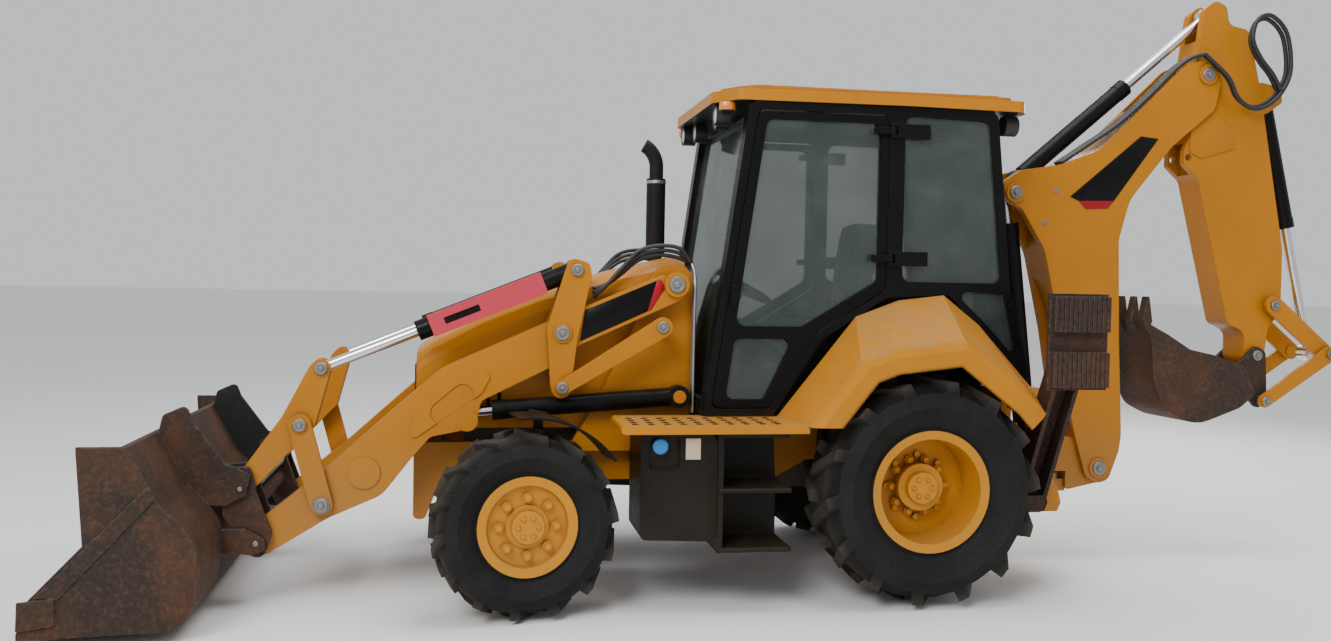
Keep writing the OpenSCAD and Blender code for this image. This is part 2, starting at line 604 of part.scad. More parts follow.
module rear_rim() {
  revolve_y(rear_z, 0, rear_wheel_y) rim_section(rear_rim_r, rear_tyre_w, -60, 70 + pin_play, -30);
  pin([0, rear_z], 130, rear_wheel_y - 39, rear_wheel_y + 30);
  pin([0, rear_z], 86, rear_wheel_y + 20, rear_wheel_y + 62);
  bolts(8, 175, 17, rear_wheel_y - 60, rear_wheel_y - 28, 0, rear_z);
}
module front_tyre_left() color("dimgray") steered(1) front_tyre();
module front_tyre_right() color("dimgray") steered(-1) front_tyre();
module front_rim_left() color("gold") steered(1) front_rim();
module front_rim_right() color("gold") steered(-1) front_rim();
module rear_tyre_left() color("dimgray") rear_tyre();
module rear_tyre_right() color("dimgray") mirror([0, 1, 0]) rear_tyre();
module rear_rim_left() color("gold") rear_rim();
module rear_rim_right() color("gold") mirror([0, 1, 0]) rear_rim();

// Loader
arm_pts = [[1270, 1770], [1400, 1772], [2054, 1496], [2601, 1251], [2926, 961], [3186, 724], [3382, 565],
  [3590, 400], [3612, 290], [3500, 262], [3183, 452], [2907, 570], [2768, 751], [2659, 880], [2417, 927],
  [2392, 1073], [2023, 1254], [1861, 1381], [1448, 1567], [1290, 1640]];
arm_round = [55, 60, 300, 300, 200, 300, 120, 70, 60, 60, 200, 160, 80, 50, 40, 50, 200, 200, 200, 50];
module arms() color("gold") {
  both() difference() {
    union() {
      side(rounded(arm_pts, arm_round, 6), arm_in, arm_out);
      pin(tube_at, arm_tube_r, arm_out - 5, arm_out + 8);
      pin(hinge_pin, 75, arm_in, arm_out);
      // leaf-shaped stiffener with a boss in it
      difference() {
        side(rounded([[2313, 1254], [2390, 1113], [2780, 845], [2759, 974], [2674, 1123], [2539, 1233]], 60),
          arm_out - 4, arm_out + 7);
        side(bar([2600, 1010], [2490, 1105], 60, 60), arm_out + 1, arm_out + 20);
      }
      pin([2464, 966], 58, arm_out - 4, arm_out + 7);
    }
    pin(arm_pin, 45 + pin_play, 0, arm_out + 50);
    pin(lever_pin, 32 + pin_play, 0, arm_out + 50);
    pin(hinge_pin, 34 + pin_play, 0, arm_out + 50);
    pin(idler_pin, 30 + pin_play, 0, arm_out + 50);
    // slot for the lift rod's eye
    side(concat([for (i = [0 : 12]) let(a = -90 + 180 * i / 12) lift_eye + 200 * [cos(a), sin(a)]],
      [[2240, 1208], [2240, 808]]), arm_in + 14, arm_out - 14);
  }
  pin(tube_at, arm_tube_r, -arm_in - 1, arm_in + 1);
}
module rear_levers() color("gold") both() {
  for (y = [arm_in - side_play - 25, arm_out + side_play])
    side(rounded([tilt_base + [-70, 40], tilt_base + [40, 70], tilt_base + [70, -20], lever_pin + [85, 30],
      lever_low + [62, 10], lever_low + [40, -60], lever_low + [-45, -55], lever_pin + [-80, -40],
      tilt_base + [-80, -30]], 45), y, y + 25);
  pin(lever_pin, 32, arm_in - side_play - 35, arm_out + side_play + 35);
  pin(lever_pin, 52, arm_out + side_play + 24, arm_out + side_play + 36);
  pin(tilt_base, 30, arm_in - side_play - 20, arm_out + side_play + 36);
  pin(lever_low, 42, arm_out + side_play + 24, arm_out + side_play + 30);
}
// the links run outside the rear levers, clear of the lift rams
loader_link_y = arm_out + side_play + 37;
module links() color("gold") both() difference() {
  side(bar(link_pin, lever_low, 55, 38), loader_link_y, loader_link_y + 26);
  pin(link_pin, 30 + pin_play, 0, 1000);
}
module lift_barrels() color("black") both()
  ram_barrel(lift_base, lift_eye, arm_y, loader_barrel_r, loader_rod_r + 0.5, 1035, 62, 90, 36);
module lift_rods() color("silver") both()
  ram_rod(lift_base, lift_eye, arm_y, loader_rod_r, 160, 46, 54, 26);
module tilt_barrels() color("black") both()
  ram_barrel(tilt_base, tilt_eye, arm_y, loader_barrel_r, loader_rod_r + 0.5, 915, 52, 90, 30,
    loader_barrel_r - 8);
module tilt_rods() color("silver") both()
  ram_rod(tilt_base, tilt_eye, arm_y, loader_rod_r, 676, 42, 50, 24);
// pistons, which take the share of the rods' stroke that comes from lifting
module tilt_pistons() color("silver") both() along(tilt_base, tilt_eye, arm_y)
  translate([0, 0, 432]) cylinder(h = 68, r = loader_barrel_r - 8.5);
module arm_lock() color("crimson") along(tilt_base, tilt_eye, arm_y) {
  r = loader_barrel_r + seat_play;
  difference() {
    translate([-r - 8, -12, 190]) cube([2 * r + 16, r + 20, 650]);
    translate([-r, -20, 180]) cube([2 * r, r + 20, 700]);
    translate([-18, 0, 560]) cube([36, 100, 200]);
  }
}
// thickness of a front lever's plate, beside the tilt rod's eye
lever_t = arm_w / 2 - loader_rod_r - 7;
module front_levers() color("gold") both() difference() {
  union() {
    for (y = [arm_in + 2, arm_out - 2 - lever_t])
      side(rounded([tilt_eye + [-55, 20], tilt_eye + [10, 62], tilt_eye + [60, 10], lever_mid + [95, 40],
        lever_foot + [62, 5], lever_foot + [15, -62], lever_foot + [-50, -20], lever_mid + [-20, -62],
        lever_mid + [-70, -15]], 42), y, y + lever_t);
    pin(lever_mid, 52, arm_in + 10, arm_out - 10);
    side(bar(lever_mid + [40, -50], lever_foot + [-60, 70], 28, 28), arm_in + 10, arm_out - 10);
    pin(lever_mid, 44, arm_out - 5, arm_out + 5);
    pin(tilt_eye, 36, arm_out - 5, arm_out + 12);
  }
  pin(lever_foot, 28 + pin_play, 0, 1000);
}
module lever_pins() color("silver") {
  both() pin(lever_foot, 28, coupler_in - 10, coupler_out + 28);
  // tube that ties the two sides' levers
  pin(lever_foot, 60, -coupler_in + 6, coupler_in - 6);
}
module idlers() color("gold") both() difference() {
  union() {
    side(bar(idler_pin, lever_mid, 58, 58), arm_out + side_play, arm_out + side_play + 28);
    pin(lever_mid, 40, arm_out + side_play + 27, arm_out + side_play + 38);
  }
  pin(idler_pin, 30 + pin_play, 0, 1000);
}
module idler_pins() color("silver") both() {
  pin(idler_pin, 30, arm_in - 4, arm_out + side_play + 40);
  pin(idler_pin, 44, arm_out + side_play + 28 + seat_play, arm_out + side_play + 40);
}
module coupler_pins() color("silver") both() pin(hinge_pin, 34, coupler_in - 15, coupler_out + 28);
coupler_in = arm_in - side_play - 30;
coupler_out = arm_out + side_play + 10;
coupler_pts = [[3705, 728], [3573, 738], [3540, 600], [3460, 380], [3500, 262], [3560, 262], [3640, 400],
  [3705, 480]];
module coupler() color("saddlebrown") {
  both() for (y = [coupler_in, coupler_out]) difference() {
    side(rounded(coupler_pts, [25, 30, 60, 60, 50, 50, 50, 40]), y, y + 28);
    pin(lever_foot, 28 + pin_play, 0, 1000);
    pin(hinge_pin, 34 + pin_play, 0, 1000);
  }
  // tube between the inner plates, and the outer plates' ties behind the bucket's back
  pin([3600, 500], 45, -coupler_in - 1, coupler_in + 1);
  both() block(3684, 3700, coupler_in, coupler_out + 28, 560, 700);
}
bucket_out = [[4481, 40], [4290, 46], [3790, 58], [3712, 160], [3700, 440], [3760, 545], [3860, 640],
  [4012, 925]];
bucket_side = concat([[4440, 215], [4200, 470], [4228, 904], [4012, 925]]);
function outer_arc() = rounded(concat(bucket_out, [[4300, 925], [4481, 300]]),
  [0, 0, 120, 150, 150, 200, 200, 0, 0, 0], 6);
module bucket_sheet() difference() {
  side(outer_arc(), -bucket_y, bucket_y);
  side(rounded([[4700, 40 + bucket_t], [4290, 46 + bucket_t], [3800, 60 + bucket_t], [3712 + bucket_t, 172],
    [3700 + bucket_t, 432], [3780, 530], [3880, 620], [4040, 925], [4040, 1100], [4700, 1100]],
    [0, 0, 110, 130, 130, 180, 180, 0, 0, 0], 6), -bucket_y + bucket_t, bucket_y - bucket_t);
  // open mouth: everything ahead of the side plates' front edge
  side([[4481.5, 40 + bucket_t], [4440, 215], [4200, 470], [4228, 904], [4228, 1200], [4800, 1200],
    [4800, 40 + bucket_t]], -bucket_y - 10, bucket_y + 10);
}
module bucket() color("sienna") {
  bucket_sheet();
  // bolted cutting edge
  difference() {
    side([[4481, 40], [4481, 46], [4300, 96], [4230, 96], [4230, 44]], -bucket_y, bucket_y);
    side([[4300, 40], [4200, 40], [4200, 60], [4300, 60]], -bucket_y - 1, bucket_y + 1);
  }
  both() {
    // wear strip and side cutter, bolted to the side plate
    side([[3918, 738], [3886, 684], [4302, 231], [4400, 238]], bucket_y - 2, bucket_y + 10);
    side([[4474, 218], [4316, 235], [4316, 107], [4478, 86]], bucket_y - 2, bucket_y + 12);
    // hinge brackets on the back, beside the coupler's outer plates
    side(rounded([[3990, 1010], [3880, 1060], [3850, 980], [3690, 760], [3560, 700], [3590, 590], [3690, 540],
      [3775, 545], [3875, 640], [4018, 890]], 30), coupler_out + 28.4, coupler_out + 56);
    side(rounded([[3722, 420], [3590, 420], [3490, 360], [3490, 300], [3560, 280], [3722, 300]],
      [0, 25, 25, 25, 25, 0]), coupler_out + 28.4, coupler_out + 56);
  }
}

// Backhoe
module swing_frame() color("gold") { swing_body(); pin(boom_base, 32, -stick_y - 12, stick_y + 12); }
module swing_body() difference() {
  union() {
    translate([swing_x, 0, 441]) cylinder(h = 78, r = 104);
    translate([swing_x, 0, 398]) cylinder(h = 164, r = swing_pin_r);
    block(-1330, swing_x, -80, 80, 441, 519);
    // rear body and the shelf that carries the boom ram
    side(rounded([[-1318, 450], [-1560, 500], [-1620, 600], [-1560, 690], [-1400, 780], [-1130, 830],
      [-1030, 790], [-1030, 600], [-1080, 572], [-1318, 572]], [20, 60, 80, 60, 60, 60, 50, 40, 20, 0]),
      -stick_y, stick_y);
  }
  // slot for the boom ram's base
  side([[-1000, 560], [-1185, 590], [-1185, 655], [-1700, 655], [-1700, 900], [-1000, 900]], -78, 78);
  pin(foot_pin, 42 + pin_play, -300, 300);
}
boom_pts = [[-1600, 520], [-1665, 700], [-1680, 800], [-1644, 1418], [-1621, 2057], [-1689, 2314], [-1973, 2663],
  [-2272, 2913], [-2320, 3120], [-2190, 3230], [-2070, 3200], [-1773, 2915], [-1470, 2624], [-1198, 2519],
  [-940, 2480], [-820, 2400], [-840, 2290], [-947, 2240], [-1112, 1982], [-1231, 1478], [-1340, 860],
  [-1440, 540], [-1525, 495]];
boom_round = [60, 100, 300, 400, 200, 250, 300, 100, 70, 60, 100, 300, 300, 300, 80, 60, 60, 80, 300, 400, 200, 60,
  60];
module boom() color("gold") {
  difference() {
    union() {
      side(rounded(boom_pts, boom_round, 6), -boom_y, boom_y);
      both() {
        pin(boom_eye, 62, boom_y - 5, boom_y + 12);
        pin(stick_pin, 66, boom_y - 5, boom_y + 12);
        pin(foot_pin, 66, boom_y - 5, boom_y + 12);
      }
    }
    // fork at the foot, cheeks at the bump and fork at the nose
    block(-1900, -1200, -stick_y - side_play, stick_y + side_play, 300, 890);
    side([[-700, 1900], [-1090, 1900], [-1160, 2380], [-1230, 2600], [-700, 2600]], -86, 86);
    pin(stick_pin, 505, -stick_y - side_play, stick_y + side_play);
    // groove for the boom ram, which lies along the boom when it is down
    side([[-1000, 860], [-1420, 860], [-1400, 909], [-1255, 1573], [-1190, 1750], [-1100, 1910], [-1000, 1910]],
      -86, 86);
  }
  pin(foot_pin, 42, -boom_y, boom_y);
  pin(stick_pin, 40, -boom_y, boom_y);
  pin(stick_base, 30, -boom_y, boom_y);
}
module boom_barrel() color("black")
  ram_barrel(boom_base, boom_eye, 0, boom_barrel_r, hoe_rod_r + 0.5, 1440, 66, 100, 32);
module boom_rod() color("silver") ram_rod(boom_base, boom_eye, 0, hoe_rod_r, 500, 56, 100, 30);
stick_pts = [[-2200, 3560], [-2150, 3180], [-2125, 2740], [-2085, 2650], [-2085, 2560], [-2190, 2470],
  [-2440, 1530], [-2570, 1480], [-2570, 1290], [-2640, 1245], [-2715, 1290], [-2740, 1500], [-2830, 1620],
  [-2828, 2023], [-2632, 3031], [-2527, 3447], [-2380, 3470], [-2360, 3590], [-2277, 3625]];
stick_round = [60, 200, 100, 30, 30, 80, 60, 80, 60, 60, 60, 100, 60, 300, 300, 60, 60, 50, 60];
module stick() color("gold") {
  difference() {
    union() {
      side(rounded(stick_pts, stick_round, 6), -stick_y, stick_y);
      side(rounded([[-2600, 3120], [-2600, 2880], [-2690, 2920], [-2790, 2990], [-2770, 3080], [-2700, 3100]], 30),
        -stick_y, stick_y);
      both() pin(guide_pin, 30, stick_y - 5, guide_y0 + link_t + 6);
    }
    pin(stick_pin, 40 + pin_play, -300, 300);
    pin(bucket_pin, 36 + pin_play, -300, 300);
    // slots for the rod's eye at the horn and for the bucket ram's base
    pin(stick_eye, 200, -56, 56);
    side([[-2560, 3160], [-2640, 2840], [-2900, 2700], [-2900, 3200]], -56, 56);
    // ears for a thumb
    side([[-2000, 2700], [-2175, 2700], [-2175, 2500], [-2000, 2500]], -62, 62);
    pin([-2118, 2605], 22, -300, 300);
  }
  pin(dig_base, 28, -stick_y, stick_y);
}
module stick_barrel() color("black")
  ram_barrel(stick_base, stick_eye, 0, stick_barrel_r, hoe_rod_r + 0.5, 950, 55, 96, 30);
module stick_rod() color("silver") ram_rod(stick_base, stick_eye, 0, hoe_rod_r, 880, 56, 96, 30);
module dig_barrel() color("black")
  ram_barrel(dig_base, dig_eye, 0, stick_barrel_r, hoe_rod_r + 0.5, 870, 50, 96, 28);
module dig_rod() color("silver") ram_rod(dig_base, dig_eye, 0, hoe_rod_r, 790, 52, 90, 26);
// planes from the stick outwards: bucket ears, guide links, power links
link_y0 = stick_y + side_play;
link_t = 24;
guide_y0 = link_y0 + link_t + 8;
power_y0 = guide_y0 + link_t + 8;
module guide_links() color("gold") both() {
  difference() {
    side(bar(guide_pin, dig_eye, 60, 56), guide_y0, guide_y0 + link_t);
    pin(guide_pin, 30 + pin_play, 0, 300);
  }
  pin(power_pin, 28, guide_y0 + 2, power_y0 + link_t + 14);
  pin(dig_eye, 44, guide_y0 - 8, guide_y0 + 2);
}
module power_links() color("gold") both() difference() {
  union() {
    side(bar(power_pin, power_foot, 50, 42), power_y0, power_y0 + link_t);
    pin(power_foot, 36, power_y0 + link_t - 2, power_y0 + link_t + 12);
  }
  pin(power_pin, 28 + pin_play, 0, 300);
}
hoe_pts = [[-1765, 1560], [-1822, 1393], [-1840, 1170], [-1925, 978], [-2141, 874], [-2460, 990], [-2575, 1085],
  [-2486, 1252]];
hoe_in = [[-1755, 1640], [-1838, 1393], [-1856, 1172], [-1936, 993], [-2141, 891], [-2453, 1005],
  [-2550, 1090], [-2440, 1290]];
module hoe_bucket() color("sienna") {
  difference() {
    side(rounded(hoe_pts, [0, 100, 150, 150, 250, 150, 40, 0], 6), -hoe_bucket_y, hoe_bucket_y);
    side(rounded(hoe_in, [0, 90, 140, 140, 240, 140, 30, 0], 6),
      -hoe_bucket_y + hoe_bucket_t, hoe_bucket_y - hoe_bucket_t);
    // hollow of the mouth
    side([[-1700, 1700], [-1770, 1540], [-1930, 1460], [-2090, 1365], [-2266, 1330], [-2486, 1252],
      [-2440, 1700]], -hoe_bucket_y - 5, hoe_bucket_y + 5);
  }
  // ears
  both() side(rounded([bucket_pin + [-65, 20], bucket_pin + [0, 68], bucket_pin + [68, 10], [-2478, 1243],
    [-2556, 1076], power_foot + [10, -60], power_foot + [-60, -10]], 40), link_y0, link_y0 + link_t);
  both() pin(power_foot, 32, link_y0 + 5, power_y0 - 5);
  pin(bucket_pin, 36, -link_y0 - link_t - 6, link_y0 + link_t + 6);
  // teeth
  for (i = [0 : 3]) let(y = (hoe_bucket_y - 32) * (2 * i / 3 - 1))
    side([[-1748, 1545], [-1790, 1470], [-1815, 1545], [-1790, 1700], [-1780, 1700]], y - 32, y + 32);
}

// Stabilizers, drawn in the rear view and set along X
module across(pts, x0, x1) { translate([x0, 0, 0]) rotate([90, 0, 90]) linear_extrude(x1 - x0) polygon(pts); }
module leg() {
  out = [sin(leg_lean), -cos(leg_lean)];
  difference() {
    across(bar(leg_pin, leg_end, 74, 58), leg_x0, leg_x1);
    across(bar(leg_pin + 30 * out + unit(leg_end - leg_pin) * 130, leg_end + 30 * out - unit(leg_end - leg_pin)
      * 120, 62, 52), leg_x0 + 24, leg_x1 - 24);
    translate([leg_x0 - 10, leg_pin[0], leg_pin[1]]) rotate([0, 90, 0]) cylinder(h = 300, r = 38 + pin_play);
    translate([leg_x0 - 10, leg_end[0], leg_end[1]]) rotate([0, 90, 0]) cylinder(h = 300, r = 26 + pin_play);
  }
}
module pad() {
  e = leg_end;
  translate([leg_x0 - 40, e[0], e[1]]) rotate([0, 90, 0]) cylinder(h = leg_x1 - leg_x0 + 80, r = 26);
  for (x = [leg_x0 - side_play - 20, leg_x1 + side_play])
    across(rounded([e + [-52, -50], e + [-52, 50], e + [92, 150], e + [92, -150]], 30), x, x + 20);
  // base plate and the rubber blocks on it
  block(-950, -605, e[0] + 86, e[0] + 106, e[1] - 260, e[1] + 260);
  for (s = [-1, 1]) {
    block(-940, -615, e[0] + 105, e[0] + 116, e[1] + s * 150 - 95, e[1] + s * 150 + 95);
    for (x = [-940 : 27.5 : -630])
      block(x, x + 22, e[0] + 115, e[0] + 150, e[1] + s * 150 - 95, e[1] + s * 150 + 95);
  }
}
module leg_left() color("sienna") leg();
module leg_right() color("sienna") mirror([0, 1, 0]) leg();
module pad_left() color("sienna") pad();
module pad_right() color("sienna") mirror([0, 1, 0]) pad();

place() main_frame();
place() engine();
place() hood();
place() grille();
place() tank_box();
place() cab_frame();
place() roof();
place() cab_glass();
place() seat();
place() console();
place() fenders();
place() stack();
place() lamps();
place() front_axle();
place() rear_axle();
place() door_left();
place() door_right();
place() knuckle_left();
place() knuckle_right();
place() front_tyre_left();
place() front_tyre_right();
place() front_rim_left();
place() front_rim_right();
place() rear_tyre_left();
place() rear_tyre_right();
place() rear_rim_left();
place() rear_rim_right();
place() arms();
place() rear_levers();
place() links();
place() lift_barrels();
place() lift_rods();
place() tilt_barrels();
place() tilt_pistons();
place() tilt_rods();
place() arm_lock();
place() front_levers();
place() lever_pins();
place() idlers();
place() idler_pins();
place() coupler_pins();
place() coupler();
place() bucket();
place() swing_frame();
place() boom();
place() boom_barrel();
place() boom_rod();
place() stick();
place() stick_barrel();
place() stick_rod();
place() guide_links();
place() power_links();
place() dig_barrel();
place() dig_rod();
place() hoe_bucket();
place() leg_left();
place() leg_right();
place() pad_left();
place() pad_right();
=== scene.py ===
"""Backhoe loader: finishes, seat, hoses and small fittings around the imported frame."""

import json
import logging
import math
from dataclasses import dataclass, field
from enum import Enum
from typing import Any, Optional, Sequence, Union

import bmesh
import bpy
from mathutils import Matrix, Vector


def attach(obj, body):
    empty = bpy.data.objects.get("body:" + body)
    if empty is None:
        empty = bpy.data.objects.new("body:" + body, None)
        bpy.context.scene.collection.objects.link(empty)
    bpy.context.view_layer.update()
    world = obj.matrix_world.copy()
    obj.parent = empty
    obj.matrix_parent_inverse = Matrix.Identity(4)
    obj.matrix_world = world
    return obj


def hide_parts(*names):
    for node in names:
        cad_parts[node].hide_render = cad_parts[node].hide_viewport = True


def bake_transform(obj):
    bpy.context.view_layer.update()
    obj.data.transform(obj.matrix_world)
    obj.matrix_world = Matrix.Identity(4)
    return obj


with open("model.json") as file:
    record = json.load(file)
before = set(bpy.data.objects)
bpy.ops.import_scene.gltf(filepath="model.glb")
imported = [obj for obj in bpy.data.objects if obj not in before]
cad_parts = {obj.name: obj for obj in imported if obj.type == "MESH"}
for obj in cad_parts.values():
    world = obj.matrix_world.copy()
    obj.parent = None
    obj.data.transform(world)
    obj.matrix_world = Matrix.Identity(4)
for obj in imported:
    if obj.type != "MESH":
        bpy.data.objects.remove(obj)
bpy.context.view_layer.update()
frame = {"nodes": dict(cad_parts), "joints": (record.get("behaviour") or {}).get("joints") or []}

LOG = logging.getLogger("backhoe_loader")
Colour = tuple[float, float, float]
Flat = tuple[float, float]
Point = tuple[float, float, float]
MM = 0.001
JOINTS: dict[str, dict[str, Any]] = {joint["name"]: joint for joint in frame["joints"]}
REAR_AXLE_X: float = JOINTS["rear_wheel_left_spin"]["pos_m"][0]
SMOOTH_ANGLE = math.radians(32)
SIDES = (("left", 1), ("right", -1))
TYRE_RADII = {"front": 0.485, "rear": 0.630}
REAR_WHEEL_Y = 0.860
FRONT_WHEEL_REACH = 0.190
FLOOR_HALF = 150.0
PANEL_THICKNESS = 3
DEEP_BLACK: Colour = (0.004, 0.004, 0.0042)
SOFT_BLACK: Colour = (0.006, 0.006, 0.006)
YELLOW: Colour = (0.50, 0.182, 0.0015)
FADED_YELLOW: Colour = (0.44, 0.162, 0.002)


def spot(x: float, y: float, z: float) -> Vector:
    """A place in the frame, from millimetres measured from the rear axle.

    Args:
        x: distance ahead of the rear axle.
        y: distance to the machine's left.
        z: height over the ground.

    Returns:
        The place in metres.
    """
    return Vector((x * MM + REAR_AXLE_X, y * MM, z * MM))


def smooth_path(points: Sequence[Point], steps: int = 7) -> list[Point]:
    """A rounded route through points.

    Args:
        points: places that the route passes through.
        steps: samples between two of them.

    Returns:
        The sampled route, its ends kept.
    """
    ends = [points[0], *points, points[-1]]
    route: list[Point] = []
    for i in range(1, len(ends) - 2):
        a, b, c, d = (Vector(p) for p in ends[i - 1:i + 3])
        for k in range(steps):
            t = k / steps
            route.append(tuple(0.5 * (2 * b + (c - a) * t + (2 * a - 5 * b + 4 * c - d) * t * t
                                      + (3 * b - a - 3 * c + d) * t ** 3)))
    return route + [tuple(points[-1])]


class Graph:
    """A node tree, whose nodes all come from one method."""

    def __init__(self, tree: bpy.types.NodeTree) -> None:
        """Starts from an empty tree."""
        self.tree = tree
        tree.nodes.clear()

    def node(self, kind: str, settings: Optional[dict[str, Any]] = None,
             sockets: Optional[dict[Union[str, int], Any]] = None) -> bpy.types.Node:
        """Adds a node.

        Args:
            kind: the node's type.
            settings: its own settings; stops are those of a colour ramp.
            sockets: values or wires for its inputs, by name or number.

        Returns:
            The node.
        """
        made = self.tree.nodes.new(kind)
        for name, value in (settings or {}).items():
            if name == "stops":
                while len(made.color_ramp.elements) < len(value):
                    made.color_ramp.elements.new(0.5)
                for stop, (place, colour) in zip(made.color_ramp.elements, value):
                    stop.position, stop.color = place, (*colour, 1.0)
            else:
                setattr(made, name, value)
        for key, value in (sockets or {}).items():
            socket = made.inputs[key]
            if isinstance(value, Wire):
                self.tree.links.new(value.socket, socket)
            elif isinstance(value, bpy.types.NodeSocket):
                self.tree.links.new(value, socket)
            elif isinstance(value, (tuple, list)) and socket.type == "RGBA":
                socket.default_value = (*value[:3], 1.0)
            else:
                socket.default_value = value
        return made


class Wire:
    """A shader value that takes part in arithmetic."""

    def __init__(self, sheet: "Sheet", socket: bpy.types.NodeSocket) -> None:
        """Keeps the sheet that the value belongs to."""
        self.sheet = sheet
        self.socket = socket

    def _math(self, operation: str, *values: Any) -> "Wire":
        """One Math node on these values."""
        node = self.sheet.node("ShaderNodeMath", {"operation": operation}, dict(enumerate(values)))
        return Wire(self.sheet, node.outputs[0])

    def __add__(self, other: Any) -> "Wire":
        """The sum."""
        return self._math("ADD", self, other)

    def __sub__(self, other: Any) -> "Wire":
        """The difference."""
        return self._math("SUBTRACT", self, other)

    def __rsub__(self, other: Any) -> "Wire":
        """A number less this value."""
        return self._math("SUBTRACT", other, self)

    def __mul__(self, other: Any) -> "Wire":
        """The product."""
        return self._math("MULTIPLY", self, other)

    def __truediv__(self, other: Any) -> "Wire":
        """The quotient."""
        return self._math("DIVIDE", self, other)

    def size(self) -> "Wire":
        """The value without its sign."""
        return self._math("ABSOLUTE", self)

    def between(self, low: float, high: float, start: float = 0.0, end: float = 1.0) -> "Wire":
        """Maps low to high onto start to end, smoothly and clamped.

        Args:
            low: value that gives start.
            high: value that gives end.
            start: first result.
            end: last result.

        Returns:
            The mapped value.
        """
        node = self.sheet.node("ShaderNodeMapRange", {"interpolation_type": "SMOOTHSTEP"},
                               {0: self, 1: low, 2: high, 3: start, 4: end})
        return Wire(self.sheet, node.outputs[0])


class Sheet(Graph):
    """One material's nodes."""

    def __init__(self, name: str) -> None:
        """Makes the material and its coordinates."""
        self.material = bpy.data.materials.new(name)
        self.material.use_nodes = True
        super().__init__(self.material.node_tree)
        self.output = self.node("ShaderNodeOutputMaterial")
        self.place = self.wire("ShaderNodeTexCoord", out="Object")
        self.facing = self.wire("ShaderNodeNewGeometry", out="Normal")

    def wire(self, kind: str, settings: Optional[dict[str, Any]] = None,
             sockets: Optional[dict[Union[str, int], Any]] = None, out: Union[str, int] = 0) -> Wire:
        """Adds a node and gives one output as a wire."""
        return Wire(self, self.node(kind, settings, sockets).outputs[out])

    def part(self, vector: Wire, axis: str) -> Wire:
        """One component of a vector."""
        return self.wire("ShaderNodeSeparateXYZ", sockets={0: vector}, out=axis)

    def vector(self, operation: str, first: Any, second: Any, out: int = 0) -> Wire:
        """One Vector Math node."""
        return self.wire("ShaderNodeVectorMath", {"operation": operation}, {0: first, 1: second}, out)

    def noise(self, scale: float, detail: float = 4.0, rough: float = 0.55,
              stretch: Point = (1.0, 1.0, 1.0)) -> Wire:
        """Noise on the object's own coordinates.

        Args:
            scale: noise scale, per metre.
            detail: number of octaves.
            rough: share of the finer octaves.
            stretch: factors on the coordinates.

        Returns:
            The noise, about 0.2 to 0.8.
        """
        at = self.vector("MULTIPLY", self.place, stretch) if stretch != (1.0, 1.0, 1.0) else self.place
        return self.wire("ShaderNodeTexNoise", {}, {"Vector": at, "Scale": scale, "Detail": detail,
                                                    "Roughness": rough})

    def cells(self, scale: float) -> Wire:
        """Distance to the nearest of scattered points."""
        return self.wire("ShaderNodeTexVoronoi", {}, {"Vector": self.place, "Scale": scale})

    def waves(self, way: str, scale: float) -> Wire:
        """Even bands across one direction."""
        return self.wire("ShaderNodeTexWave", {"bands_direction": way}, {"Vector": self.place, "Scale": scale})

    def mix(self, factor: Any, first: Any, second: Any) -> Wire:
        """A colour between two."""
        return self.wire("ShaderNodeMix", {"data_type": "RGBA"}, {0: factor, 6: first, 7: second}, out=2)

    def edges(self, radius: float) -> tuple[Wire, Wire]:
        """Soft edges.

        Args:
            radius: width of the rounding in metres.

        Returns:
            The rounded normal, and a mask that is 1 along edges.
        """
        rounded = self.wire("ShaderNodeBevel", {"samples": 4}, {"Radius": radius})
        along = self.vector("DOT_PRODUCT", rounded, self.facing, out=1)
        return rounded, along.between(0.995, 0.86)

    def corner_shade(self, reach: float) -> Wire:
        """A mask of inner corners, from how much of the sky a place sees; colour darkened by it is painted
        shade.
        """
        return 1 - self.wire("ShaderNodeAmbientOcclusion", {"samples": 4}, {"Distance": reach}, out="AO")

    def bump(self, height: Wire, strength: float, distance: float, normal: Optional[Wire] = None) -> Wire:
        """A Bump node on a height."""
        sockets: dict[Union[str, int], Any] = {"Strength": strength, "Distance": distance, "Height": height}
        if normal is not None:
            sockets["Normal"] = normal
        return self.wire("ShaderNodeBump", {}, sockets)

    def finish(self, colour: Any, roughness: Any, **sockets: Any) -> bpy.types.Material:
        """Puts the surface together.

        Args:
            colour: base colour.
            roughness: how dull it is.
            sockets: other inputs, with underscores for spaces.

        Returns:
            The material.
        """
        inputs = {name.replace("_", " "): value for name, value in sockets.items()}
        return self.close(self.shader({"Base Color": colour, "Roughness": roughness, **inputs}))

    def shader(self, inputs: dict[str, Any]) -> bpy.types.NodeSocket:
        """A Principled surface with these inputs."""
        return self.node("ShaderNodeBsdfPrincipled", {}, inputs).outputs[0]

    def close(self, surface: bpy.types.NodeSocket) -> bpy.types.Material:
        """Ends the material in a surface."""
        self.tree.links.new(surface, self.output.inputs["Surface"])
        return self.material


